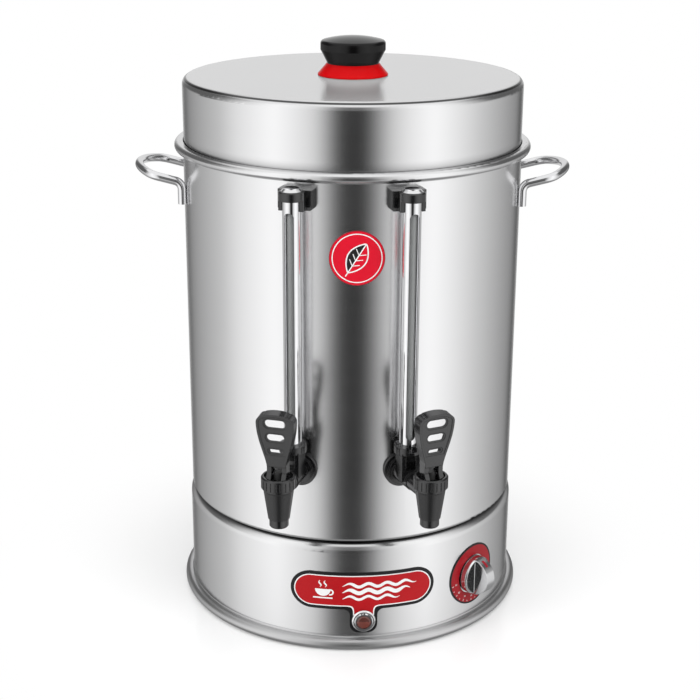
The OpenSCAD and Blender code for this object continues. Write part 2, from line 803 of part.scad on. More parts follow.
// Pipe from the brew vessel's floor to the right tap's shank
module brew_pipe() {
    reach = tank_in - shank_in + 9;
    color([0.78, 0.79, 0.8]) tapped(1) difference() {
        union() {
            translate([0, 0, tap_z + pipe_bend])
                cylinder(r = pipe_r, h = vessel_low - tap_z - pipe_bend);
            translate([0, -pipe_bend, tap_z + pipe_bend]) rotate([90, 0, 90]) rotate([0, 0, -90])
                rotate_extrude(angle = 90) translate([pipe_bend, 0]) circle(pipe_r);
            outward(pipe_bend, tap_z) cylinder(r = pipe_r, h = reach - pipe_bend);
        }
        translate([0, 0, tap_z + pipe_bend]) cylinder(r = pipe_r - sheet, h = vessel_h);
        translate([0, -pipe_bend, tap_z + pipe_bend]) rotate([90, 0, 90]) rotate([0, 0, -90])
            rotate_extrude(angle = 90) translate([pipe_bend, 0]) circle(pipe_r - sheet);
        outward(pipe_bend, tap_z) cylinder(r = pipe_r - sheet, h = tank_r);
    }
}

module tea_filter() {
    wire = 2.5;
    low = vessel_top - filter_h;
    color([0.82, 0.83, 0.84]) difference() {
        union() {
            rotate_extrude($fn = wall_fn) difference() {
                union() {
                    pot_profile(filter_r, low, vessel_top + 1, 6);
                    translate([0, vessel_top]) square([vessel_r + 1.5, sheet]);
                }
                pot_profile(filter_r - sheet, low + sheet, vessel_top + sheet + 2, 6 - sheet);
            }
            for (side = [-1, 1]) {
                translate([side * (filter_r + 2), 0, vessel_top + sheet / 2])
                    cylinder(r = wire, h = filter_rise);
                translate([side * (filter_r + 2), 0, vessel_top + sheet / 2 + filter_rise])
                    sphere(wire);
            }
            translate([-filter_r - 2, 0, vessel_top + sheet / 2 + filter_rise]) rotate([0, 90, 0])
                cylinder(r = wire, h = 2 * filter_r + 4);
        }
        for (row = [1 : 3]) {
            for (hole = [0 : 6 * row - 1]) {
                rotate([0, 0, 60 * hole / row]) translate([row * filter_r / 4, 0, low - 1])
                    cylinder(r = 2.5, h = sheet + 2, $fn = 24);
            }
        }
    }
}

module lid_shell() {
    color([0.82, 0.83, 0.84]) difference() {
        rotate_extrude($fn = wall_fn) difference() {
            union() {
                cap_profile(lid_r, lid_low, lid_top, lid_corner);
                polygon([[0, lid_low - 2], [plug_r, lid_low - 2], [lid_r, lid_low], [0, lid_low]]);
                translate([0, lid_low - lid_plug]) square([plug_r, lid_plug - 1]);
            }
            cap_profile(lid_r - sheet, lid_low + 1, lid_top - sheet, lid_corner - sheet);
            polygon([[0, lid_low - 2], [plug_r - sheet, lid_low - 2], [lid_r - sheet, lid_low + 1],
                     [0, lid_low + 1]]);
            translate([0, lid_low - lid_plug - 1]) square([plug_r - sheet, lid_plug]);
        }
        translate([0, 0, lid_top - sheet - 1]) cylinder(r = knob_screw_r + slip, h = sheet + 2);
    }
}

// Red base of the lid knob, a low cone
module lid_knob_base() {
    edge_h = 1.2;
    ledge = 0.4;
    color([0.8, 0.03, 0.05]) translate([0, 0, lid_top]) difference() {
        rotate_extrude() polygon([[0, 0], [knob_base_r, 0], [knob_base_r, edge_h],
                                  [knob_neck_r + ledge, knob_base_h], [0, knob_base_h]]);
        translate([0, 0, -1]) cylinder(r = knob_screw_r + slip, h = knob_base_h + 2);
    }
}

// Black cap of the lid knob: a cone that widens to a round rim under a low crown
module lid_knob_cap() {
    rim_z = 0.5 * knob_cap_h;
    edge_in = knob_cap_r - knob_edge;
    edge_z = knob_cap_h - knob_crown + sqrt(pow(knob_crown - knob_edge, 2) - pow(edge_in, 2));
    meet = edge_in * knob_crown / (knob_crown - knob_edge);
    color([0.05, 0.05, 0.05]) translate([0, 0, lid_top + knob_base_h]) difference() {
        rotate_extrude() union() {
            polygon([[0, 0], [knob_neck_r, 0], [knob_cap_r, rim_z], [knob_cap_r, edge_z], [0, edge_z]]);
            translate([edge_in, edge_z]) circle(knob_edge);
            intersection() {
                translate([0, knob_cap_h - knob_crown]) circle(knob_crown);
                translate([0, edge_z - 1]) square([meet, knob_cap_h]);
            }
        }
        translate([0, 0, -1]) cylinder(r = knob_screw_r + slip, h = 14);
    }
}

module lid_knob_screw() {
    color([0.7, 0.7, 0.72]) translate([0, 0, lid_top - sheet]) union() {
        cylinder(r = knob_screw_r, h = sheet + knob_base_h + 12);
        translate([0, 0, -1.5]) cylinder(r = 9, h = 1.5);
        translate([0, 0, -5.5]) cylinder(r = 5.5, h = 4, $fn = 6);
    }
}

// Tap body: nozzle, chamber and shank, upright at the front
module tap_body() {
    tip_z = tap_z - nozzle_drop;
    cone_z = tip_z + tip_len;
    difference() {
        union() {
            translate([0, -tap_y, 0]) {
                translate([0, 0, tip_z + 1]) cylinder(r = tip_r, h = tip_len);
                translate([0, 0, tip_z]) cylinder(r1 = tip_r - 0.8, r2 = tip_r, h = 1);
                translate([0, 0, cone_z])
                    cylinder(r1 = cone_low_r, r2 = cone_top_r, h = cone_high - cone_z);
                translate([0, 0, cone_high]) cylinder(r1 = cone_top_r, r2 = bonnet_r - 1.6, h = 1);
                translate([0, 0, cone_high + 1])
                    cylinder(r = bonnet_r - 1.6, h = bonnet_low - cone_high - 1);
                translate([0, 0, bonnet_low - 0.5])
                    cylinder(r = rim_r, h = rim_high - bonnet_low + 0.5);
            }
            outward(tank_r + sleeve_out, tap_z) cylinder(r = shank_r, h = tap_reach - sleeve_out);
            outward(tank_in - shank_in, tap_z)
                cylinder(r = thread_r, h = shank_in + sheet + sleeve_out + 1);
        }
        translate([0, -tap_y, seat_z]) cylinder(r = chamber_r, h = rim_high - seat_z + 1);
        translate([0, -tap_y, tip_z - 1]) cylinder(r = nozzle_bore, h = seat_z - tip_z + 2);
        outward(tank_in - shank_in - 1, tap_z)
            cylinder(r = shank_bore, h = shank_in + sheet + tap_reach - 2);
        translate([0, -gauge_y, tap_z]) cylinder(r = 1.6, h = thread_r + 1);
    }
}

module left_tap_body() {
    color([0.08, 0.08, 0.08]) tapped(-1) tap_body();
}

module right_tap_body() {
    color([0.08, 0.08, 0.08]) tapped(1) tap_body();
}

// Ribbed bonnet nut with a recess for the lever's feet and a guide for the stem
module tap_bonnet() {
    groove = PI * bonnet_r / bonnet_ribs / 2.4;
    translate([0, -tap_y, 0]) difference() {
        union() {
            translate([0, 0, bonnet_low]) cylinder(r = bonnet_r, h = bonnet_h - 1.2);
            translate([0, 0, bonnet_top - 1.2]) cylinder(r1 = bonnet_r, r2 = bonnet_r - 1, h = 1.2);
        }
        translate([0, 0, bonnet_floor]) cylinder(r = bonnet_r - 2.6, h = recess + 1);
        difference() {
            translate([0, 0, bonnet_low - 1]) cylinder(r = rim_r + slip, h = disc_low - bonnet_low + 1);
            translate([0, 0, guide_low]) cylinder(r = stem_r + 2.6, h = bonnet_h);
        }
        translate([0, 0, guide_low - 1]) cylinder(r = stem_r + run, h = bonnet_h);
        for (rib = [0 : bonnet_ribs - 1]) {
            rotate([0, 0, 360 * (rib + 0.5) / bonnet_ribs])
                translate([-groove / 2, -bonnet_r - 1, bonnet_low - 1])
                cube([groove, 1.6, bonnet_h - 1.2]);
        }
    }
}

module left_tap_bonnet() {
    color([0.1, 0.1, 0.1]) tapped(-1) tap_bonnet();
}

module right_tap_bonnet() {
    color([0.1, 0.1, 0.1]) tapped(1) tap_bonnet();
}

// Half outline of the paddle: half width at shares of its height above the fork
function paddle_half(share) =
    let (start = fork_half - 0.4)
    start + (lever_half - start) * pow(sin(90 * min(1, max(0, share))), 1.35);

// Paddle outline above the pin, with its round top, drawn smaller all round by an inset
module paddle_outline(inset, low) {
    corner = 6.5;
    high = lever_h - corner - 2;
    steps = 10;
    side = [for (k = [0 : steps]) let (v = low + (high - low) * k / steps)
            [paddle_half((v - bridge_z) / (high - bridge_z)) - inset, v]];
    polygon(concat(side, [for (k = [steps : -1 : 0]) [-side[k][0], side[k][1]]]));
    crown = (pow(lever_half, 2) + 16) / 8;
    intersection() {
        translate([0, lever_h - crown]) circle(crown - inset);
        union() {
            translate([-lever_half + corner, high - 1]) square([2 * (lever_half - corner), corner + 4]);
            for (turn = [-1, 1]) {
                translate([turn * (lever_half - corner), high]) circle(corner - inset);
            }
        }
    }
}

// Side outline of the lever's foot: a flat heel, then a toe that lifts the pin evenly
module foot_outline() {
    toe = [for (k = [0 : 8]) let (a = lever_turn * k / 8, h = cam_h + cam_lift * a * PI / 180)
           [h * sin(a) + cam_lift * cos(a), -h * cos(a) + cam_lift * sin(a)]];
    polygon(concat([[-4.2, bridge_z + 2], [-4.2, -cam_h + 1.2], [-3, -cam_h]], toe,
                   [[5.2, 3], [5.2, bridge_z + 2]]));
}

// Lever: a fork on two rocking feet with an apron between them, and a paddle with a thin front web,
// a deep rim and three slots
module tap_lever() {
    web = 2.4;
    apron_t = 4;
    apron_z = 6;
    back = -lever_t / 2;
    slots = [[9.2, 3.6, lever_h - 9], [7.8, 3.2, lever_h - 22.2], [6, 1.6, lever_h - 35]];
    translate([0, -tap_y, pin_z]) difference() {
        union() {
            rotate([90 + lever_lean, 0, 0]) difference() {
                translate([0, 0, back]) linear_extrude(lever_t) paddle_outline(0, bridge_z);
                translate([0, 0, back - 1]) linear_extrude(lever_t + 1 - web)
                    paddle_outline(2.6, bridge_z + 5);
                translate([0, 0, -back - 0.6]) linear_extrude(2) paddle_outline(2.2, bridge_z + 11);
                for (s = slots) {
                    translate([0, s[2], back]) stadium(s[0], s[1], lever_t + 1);
                    translate([0, s[2], -back - 1.2]) stadium(s[0] + 1.4, s[1] + 1.3, 2);
                }
            }
            for (side = [-1, 1]) {
                translate([side > 0 ? fork_gap : -fork_half, 0, 0]) rotate([90, 0, -90])
                    mirror([1, 0, 0]) rotate([0, 180, 0])
                        linear_extrude(fork_half - fork_gap) foot_outline();
            }
            translate([-fork_half, back - 0.6, bridge_z]) cube([2 * fork_half, lever_t, 4]);
            translate([-fork_gap, -apron_t / 2, apron_z])
                cube([2 * fork_gap, apron_t, bridge_z - apron_z + 1]);
        }
        translate([-fork_half - 1, 0, 0]) rotate([0, 90, 0])
            cylinder(r = pin_r + 0.02, h = 2 * fork_half + 2);
    }
}

module left_tap_lever() {
    color([0.07, 0.07, 0.07]) tapped(-1) tap_lever();
}

module right_tap_lever() {
    color([0.07, 0.07, 0.07]) tapped(1) tap_lever();
}

module lever_pin() {
    translate([-fork_half, -tap_y, pin_z]) rotate([0, 90, 0]) cylinder(r = pin_r, h = 2 * fork_half);
}

module left_lever_pin() {
    color([0.7, 0.7, 0.72]) tapped(-1) lever_pin();
}

module right_lever_pin() {
    color([0.7, 0.7, 0.72]) tapped(1) lever_pin();
}

// Stem from the seat cup up to the head that the pin goes through
module tap_stem() {
    foot = seat_z + rest_gap + 1.5;
    difference() {
        translate([0, -tap_y, 0]) {
            translate([0, 0, foot]) cylinder(r = stem_r, h = pin_z - foot);
            translate([0, 0, bonnet_floor + 0.6])
                cylinder(r = head_r, h = pin_z - bonnet_floor - 0.6 + 3);
        }
        translate([-10, -tap_y, pin_z]) rotate([0, 90, 0]) cylinder(r = pin_r + run, h = 20);
    }
}

module left_tap_stem() {
    color([0.12, 0.12, 0.12]) tapped(-1) tap_stem();
}

module right_tap_stem() {
    color([0.12, 0.12, 0.12]) tapped(1) tap_stem();
}

// Soft cup on the stem that closes the nozzle
module tap_seat() {
    translate([0, -tap_y, seat_z + rest_gap]) difference() {
        cylinder(r = cup_r, h = cup_h);
        translate([0, 0, 1.5]) cylinder(r = stem_r + 0.02, h = cup_h);
    }
}

module left_tap_seat() {
    color([0.85, 0.85, 0.8]) tapped(-1) tap_seat();
}

module right_tap_seat() {
    color([0.85, 0.85, 0.8]) tapped(1) tap_seat();
}

// One unbroken wire wound round the stem, as rings of six points along a helix
module tap_spring() {
    rings = 8 * spring_turns;
    low = spring_low + spring_wire + 0.1;
    rise = guide_low - spring_low - 2 * spring_wire - 0.2;
    points = [for (i = [0 : rings]) let (a = 45 * i, z = low + rise * i / rings)
              for (j = [0 : 5]) let (b = 60 * j, r = spring_ring + spring_wire * cos(b))
              [r * cos(a), r * sin(a), z + spring_wire * sin(b)]];
    sides = [for (i = [0 : rings - 1]) for (j = [0 : 5]) let (n = (j + 1) % 6, p = 6 * i, q = 6 * i + 6)
             for (t = [0, 1]) t == 0 ? [p + j, q + j, q + n] : [p + j, q + n, p + n]];
    ends = [for (j = [1 : 4]) for (t = [0, 1])
            t == 0 ? [0, j, j + 1] : [6 * rings, 6 * rings + j + 1, 6 * rings + j]];
    translate([0, -tap_y, 0]) polyhedron(points = points, faces = concat(sides, ends));
}

module left_tap_spring() {
    color([0.75, 0.75, 0.77]) tapped(-1) tap_spring();
}

module right_tap_spring() {
    color([0.75, 0.75, 0.77]) tapped(1) tap_spring();
}

module tap_nuts() {
    color([0.8, 0.7, 0.4]) for (side = [-1, 1]) {
        tapped(side) outward(tank_in - gasket_t - nut_t - 1, tap_z) nut(11.5, thread_r + slip, nut_t);
    }
}

module tap_gaskets() {
    color([0.2, 0.2, 0.2]) for (side = [-1, 1]) {
        intersection() {
            tapped(side) outward(tank_in - gasket_t - 1, tap_z) ring(11, thread_r + slip, gasket_t + 4);
            cylinder(r = tank_in, h = lip_top, $fn = wall_fn);
        }
    }
}

// Lower gauge block: flange on the tank, sleeve round the shank and a socket, open at the front,
// for the guard tube
module gauge_block(side) {
    difference() {
        union() {
            difference() {
                union() {
                    at(side * tap_angle) outward(tank_r - 4, tap_z) cylinder(r = flange_r, h = 7);
                    at(side * tap_angle) outward(tank_r + 2, tap_z) cylinder(r = flange_r - 3.2, h = 4);
                    tapped(side) outward(tank_r - 1, tap_z) cylinder(r = sleeve_r, h = sleeve_out + 1);
                }
                cylinder(r = tank_r, h = lip_top, $fn = wall_fn);
            }
            at(side * tap_angle) translate([0, -gauge_y, 0]) {
                translate([-8.5, -10, tap_z]) cube([17, 19, guard_low - tap_z]);
                translate([0, 0, guard_low - 1.5])
                    cylinder(r = socket_r, h = socket_top - guard_low + 1.5);
            }
        }
        at(side * tap_angle) translate([0, -gauge_y, 0]) {
            translate([0, 0, guard_low]) cylinder(r = guard_r + slip, h = 20);
            translate([0, 0, guard_low - seal_h]) cylinder(r = glass_r + 2, h = seal_h + 1);
            translate([0, 0, glass_low]) cylinder(r = glass_r + slip, h = 20);
            translate([0, 0, tap_z]) cylinder(r = 1.6, h = 40);
            translate([-4.6, -20, block_low]) cube([9.2, 11.8, guard_low - 1.5 - block_low]);
            translate([-4.6, -20, block_low]) cube([9.2, 16, 8]);
            for (end = [-1, 1]) {
                translate([-4.6, end * 14 - 6, guard_low + 1.5]) cube([9.2, 12, 20]);
            }
        }
        tapped(side) outward(tank_r - 6, tap_z) cylinder(r = thread_r + slip, h = sleeve_out + 12);
    }
}

module left_gauge_block() {
    color([0.09, 0.09, 0.09]) gauge_block(-1);
}

module right_gauge_block() {
    color([0.09, 0.09, 0.09]) gauge_block(1);
}

module gauge_guard() {
    mid = (window_low + window_high) / 2;
    difference() {
        translate([0, -gauge_y, guard_low]) ring(guard_r, guard_r - guard_wall, guard_high - guard_low);
        outward(gauge_y, mid) rotate([0, 0, 90])
            stadium((window_high - window_low) / 2, window_half, guard_r + 4);
    }
}

module left_gauge_guard() {
    color([0.85, 0.85, 0.86]) at(-tap_angle) gauge_guard();
}

module right_gauge_guard() {
    color([0.85, 0.85, 0.86]) at(tap_angle) gauge_guard();
}

module gauge_glass() {
    translate([0, -gauge_y, glass_low]) ring(glass_r, glass_r - glass_wall, glass_high - glass_low);
}

module left_gauge_glass() {
    color([0.8, 0.9, 0.95, 0.4]) at(-tap_angle) gauge_glass();
}

module right_gauge_glass() {
    color([0.8, 0.9, 0.95, 0.4]) at(tap_angle) gauge_glass();
}

// Top cap of a gauge, with hanging fingers and a bracket to the tank
module gauge_cap() {
    drop = cap_low - finger_len;
    difference() {
        union() {
            translate([0, -gauge_y, cap_low]) cylinder(r = cap_r, h = cap_h - 1);
            translate([0, -gauge_y, cap_top - 1]) cylinder(r1 = cap_r, r2 = cap_r - 1, h = 1);
            intersection() {
                translate([0, -gauge_y, drop]) cylinder(r = cap_r, h = finger_len + 1);
                translate([-20, -gauge_y - 2.2, drop]) cube([40, 4.4, finger_len + 1]);
            }
            difference() {
                outward(tank_r - 2, 0) linear_extrude(gauge_off - guard_r + 1.6)
                    polygon([[-bracket_half, cap_top - 1], [-bracket_half, drop],
                             [1.2 - bracket_half, drop - 1.2], [bracket_half - 1.2, drop - 1.2],
                             [bracket_half, drop], [bracket_half, cap_top - 1]]);
                cylinder(r = tank_r, h = lip_top, $fn = wall_fn);
            }
        }
        translate([0, -gauge_y, drop - 2]) cylinder(r = guard_r + slip, h = guard_high - drop + 2);
        translate([0, -gauge_y, guard_high - 1]) cylinder(r = 5 + slip, h = 10);
        outward(tank_r - 3, gauge_screw_z) cylinder(r = gauge_screw_r + 0.02, h = 11);
    }
}

module left_gauge_cap() {
    color([0.09, 0.09, 0.09]) at(-tap_angle) gauge_cap();
}

module right_gauge_cap() {
    color([0.09, 0.09, 0.09]) at(tap_angle) gauge_cap();
}

module gauge_plugs() {
    color([0.85, 0.85, 0.86]) for (side = [-1, 1]) {
        at(side * tap_angle) translate([0, -gauge_y, 0]) {
            translate([0, 0, guard_high]) cylinder(r = 5, h = cap_top - guard_high + 1);
            translate([0, 0, cap_top]) cylinder(r1 = cap_r - 2.2, r2 = cap_r - 4.6, h = 2);
            translate([0, 0, cap_top + 2]) cylinder(r = cap_r - 4.6, h = 0.6);
        }
    }
}

module gauge_seals() {
    color([0.15, 0.15, 0.15]) for (side = [-1, 1]) {
        at(side * tap_angle) translate([0, -gauge_y, 0]) {
            translate([0, 0, guard_low - seal_h]) ring(glass_r + 2 - slip, glass_r + slip, seal_h);
            translate([0, 0, glass_high - seal_h])
                ring(guard_r - guard_wall - slip, glass_r + slip, seal_h);
        }
    }
}

module gauge_screws() {
    color([0.7, 0.7, 0.72]) for (side = [-1, 1]) {
        at(side * tap_angle) {
            outward(tank_in - 0.2, gauge_screw_z) cylinder(r = gauge_screw_r, h = sheet + 7);
            intersection() {
                outward(tank_in - 2.6, gauge_screw_z) cylinder(r = 4.5, h = 4);
                cylinder(r = tank_in, h = lip_top, $fn = wall_fn);
            }
        }
    }
}

base_shell();
base_cover();
cover_screws();
name_plate();
lamp_ring();
lamp_lens();
lamp_body();
lamp_nut();
dial_plate();
thermostat_knob();
thermostat_shaft();
thermostat_body();
thermostat_screws();
sensor_tube();
heating_element();
element_nuts();
element_gaskets();
thermal_cutout();
terminal_block();
cable_gland();
gland_nut();
tank_nuts();
tank_body();
round_badge();
left_handle();
right_handle();
brew_vessel();
brew_pipe();
tea_filter();
lid_shell();
lid_knob_base();
lid_knob_cap();
lid_knob_screw();
left_tap_body();
right_tap_body();
left_tap_bonnet();
right_tap_bonnet();
left_tap_lever();
right_tap_lever();
left_lever_pin();
right_lever_pin();
left_tap_stem();
right_tap_stem();
left_tap_seat();
right_tap_seat();
left_tap_spring();
right_tap_spring();
tap_nuts();
tap_gaskets();
left_gauge_block();
right_gauge_block();
left_gauge_guard();
right_gauge_guard();
left_gauge_glass();
right_gauge_glass();
left_gauge_cap();
right_gauge_cap();
gauge_plugs();
gauge_seals();
gauge_screws();
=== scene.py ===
"""Looks of a twin-tap tea urn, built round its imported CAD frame.

The CAD nodes keep their meshes and get procedural finishes. The prints on the name plate, the round
badge and the dial, and the index on the turning knob, are thin surfaces laid on the curved steel.
Lengths are in metres, and angles in degrees where a name or a docstring says so.
"""

import logging
import math
from dataclasses import dataclass, field
from enum import Enum

import bpy
import numpy as np
from mathutils import Matrix, Vector

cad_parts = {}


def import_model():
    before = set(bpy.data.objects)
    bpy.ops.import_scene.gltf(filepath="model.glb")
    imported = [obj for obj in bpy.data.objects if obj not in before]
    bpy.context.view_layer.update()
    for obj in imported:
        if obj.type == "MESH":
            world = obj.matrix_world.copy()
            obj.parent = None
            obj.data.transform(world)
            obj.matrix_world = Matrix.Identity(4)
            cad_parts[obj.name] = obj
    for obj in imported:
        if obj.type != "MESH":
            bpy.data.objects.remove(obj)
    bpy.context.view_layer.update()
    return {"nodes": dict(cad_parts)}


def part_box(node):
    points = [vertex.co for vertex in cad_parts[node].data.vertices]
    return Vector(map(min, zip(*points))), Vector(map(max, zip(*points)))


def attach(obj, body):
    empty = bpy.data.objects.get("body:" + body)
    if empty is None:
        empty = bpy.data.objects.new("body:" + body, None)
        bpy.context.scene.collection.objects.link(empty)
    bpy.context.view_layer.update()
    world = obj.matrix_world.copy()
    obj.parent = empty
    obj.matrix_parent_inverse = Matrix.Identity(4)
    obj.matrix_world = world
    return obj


LOG = logging.getLogger("tea_urn")
MM = 0.001
Colour = tuple[float, float, float]


class Ink(Enum):
    """Colours that the prints are made in."""

    WHITE = "white_print"
    BLACK = "black_print"
    RED = "red_print"


class Side(Enum):
    """The two taps and gauges, as seen from the front."""

    LEFT = "left"
    RIGHT = "right"


# Node trees


class Graph:
    """Adds and joins the nodes of one node tree."""

    def __init__(self, tree: bpy.types.NodeTree) -> None:
        """Keeps the tree whose nodes are added."""
        self.tree = tree

    def add(self, kind: str, **settings: object) -> bpy.types.Node:
        """Adds a node.

        Args:
            kind: Blender's name for the node's type.
            settings: properties of the node, by name.

        Returns:
            The new node.
        """
        node = self.tree.nodes.new(kind)
        for name, value in settings.items():
            setattr(node, name, value)
        return node

    def join(self, source: object, target: bpy.types.NodeSocket) -> None:
        """Links a socket to a target, or writes a plain number or colour on it.

        Args:
            source: an output socket, a number or a colour.
            target: the input socket that takes it.
        """
        if isinstance(source, bpy.types.NodeSocket):
            self.tree.links.new(source, target)
        elif isinstance(source, tuple) and len(source) == 3 and target.type == "RGBA":
            target.default_value = (*source, 1.0)
        else:
            target.default_value = source

    def maths(self, operation: str, *values: object) -> bpy.types.NodeSocket:
        """Adds a Math node.

        Args:
            operation: the name of the operation.
            values: sockets or numbers, in the node's order.

        Returns:
            The node's output.
        """
        node = self.add("ShaderNodeMath", operation=operation)
        for socket, value in zip(node.inputs, values):
            self.join(value, socket)
        return node.outputs[0]

    def blend(self, share: object, first: object, second: object) -> bpy.types.NodeSocket:
        """Mixes two colours.

        Args:
            share: how much of the second colour shows, 0 to 1.
            first: a colour or a socket.
            second: a colour or a socket.

        Returns:
            The mixed colour.
        """
        node = self.add("ShaderNodeMix", data_type="RGBA")
        self.join(share, node.inputs[0])
        self.join(first, node.inputs[6])
        self.join(second, node.inputs[7])
        return node.outputs[2]

    def spread(self, value: object, low: float, high: float) -> bpy.types.NodeSocket:
        """Carries 0 to 1 over to the range from low to high.

        Args:
            value: the socket that runs from 0 to 1.
            low: what 0 becomes.
            high: what 1 becomes.

        Returns:
            The value in its new range.
        """
        return self.maths("MULTIPLY_ADD", value, high - low, low)

    def ease(self, value: object, start: object, end: object) -> bpy.types.NodeSocket:
        """Goes smoothly from 0 to 1 as a value goes from start to end.

        Args:
            value: the socket that is read.
            start: where the result is 0.
            end: where the result is 1.

        Returns:
            The smooth share.
        """
        node = self.add("ShaderNodeMapRange", interpolation_type="SMOOTHSTEP")
        self.join(value, node.inputs["Value"])
        self.join(start, node.inputs["From Min"])
        self.join(end, node.inputs["From Max"])
        return node.outputs[0]

    def length(self, first: object, second: object) -> bpy.types.NodeSocket:
        """Gives the length of two offsets at right angles."""
        square = self.maths("MULTIPLY", second, second)
        return self.maths("SQRT", self.maths("MULTIPLY_ADD", first, first, square))

    def mean(self, first: object, second: object, share: float) -> bpy.types.NodeSocket:
        """Gives the mean of two values, weighted by the first one's share."""
        return self.maths("MULTIPLY_ADD", first, share, self.maths("MULTIPLY", second, 1 - share))

    def vary(self, share: object, colour: Colour, low: float, high: float) -> bpy.types.NodeSocket:
        """Gives a colour that goes from low times to high times its brightness with a share."""
        return self.blend(share, tinted(colour, low), tinted(colour, high))

    def heading(self, x: object, y: object) -> bpy.types.NodeSocket:
        """Gives the angle about the upright axis in radians, 0 in front."""
        return self.maths("ARCTAN2", x, self.maths("MULTIPLY", y, -1.0))

    def seen(self) -> bpy.types.NodeSocket:
        """Gives 1 where the camera looks, straight, by a mirror or through glass, and 0 to other light.

        Returns:
            The 1 or 0.
        """
        path = self.add("ShaderNodeLightPath").outputs
        direct = self.maths("MAXIMUM", path["Is Camera Ray"], path["Is Glossy Ray"])
        return self.maths("MAXIMUM", direct, path["Is Transmission Ray"])

    def scaled(self, size: object) -> bpy.types.NodeSocket:
        """Gives the point in Object coordinates, divided by a size.

        Args:
            size: what the point is divided by.

        Returns:
            The scaled point.
        """
        point = self.add("ShaderNodeVectorMath", operation="SCALE")
        self.join(self.add("ShaderNodeTexCoord").outputs["Object"], point.inputs[0])
        self.join(self.maths("DIVIDE", 1.0, size), point.inputs["Scale"])
        return point.outputs[0]

    def place(self) -> tuple[bpy.types.NodeSocket, ...]:
        """Gives the x, y and z of the point in Object coordinates.

        Returns:
            The three coordinates.
        """
        split = self.add("ShaderNodeSeparateXYZ")
        self.join(self.add("ShaderNodeTexCoord").outputs["Object"], split.inputs[0])
        return tuple(split.outputs)

    def noise(self, vector: object, scale: float, detail: float = 2.0) -> bpy.types.NodeSocket:
        """Adds a noise texture.

        Args:
            vector: where it is read.
            scale: its scale.
            detail: its octaves.

        Returns:
            Its value, about 0.5 on average.
        """
        node = self.add("ShaderNodeTexNoise")
        self.join(vector, node.inputs["Vector"])
        node.inputs["Scale"].default_value = scale
        node.inputs["Detail"].default_value = detail
        return node.outputs["Fac"]

    def group(self, tree: bpy.types.NodeTree, **inputs: float) -> bpy.types.Node:
        """Places a shared node group.

        Args:
            tree: the group's own tree.
            inputs: values for its inputs, by name.

        Returns:
            The placed group.
        """
        node = self.add("ShaderNodeGroup", node_tree=tree)
        for name, value in inputs.items():
            node.inputs[name].default_value = value
        return node


def cleared(owner: bpy.types.Material | bpy.types.World) -> Graph:
    """Gives a material or a world an empty node tree.

    Args:
        owner: the material or the world.

    Returns:
        The empty graph.
    """
    owner.use_nodes = True
    owner.node_tree.nodes.clear()
    return Graph(owner.node_tree)


def tinted(colour: Colour, share: float) -> Colour:
    """Gives a colour made brighter or darker by a share."""
    return tuple(min(1.0, c * share) for c in colour)


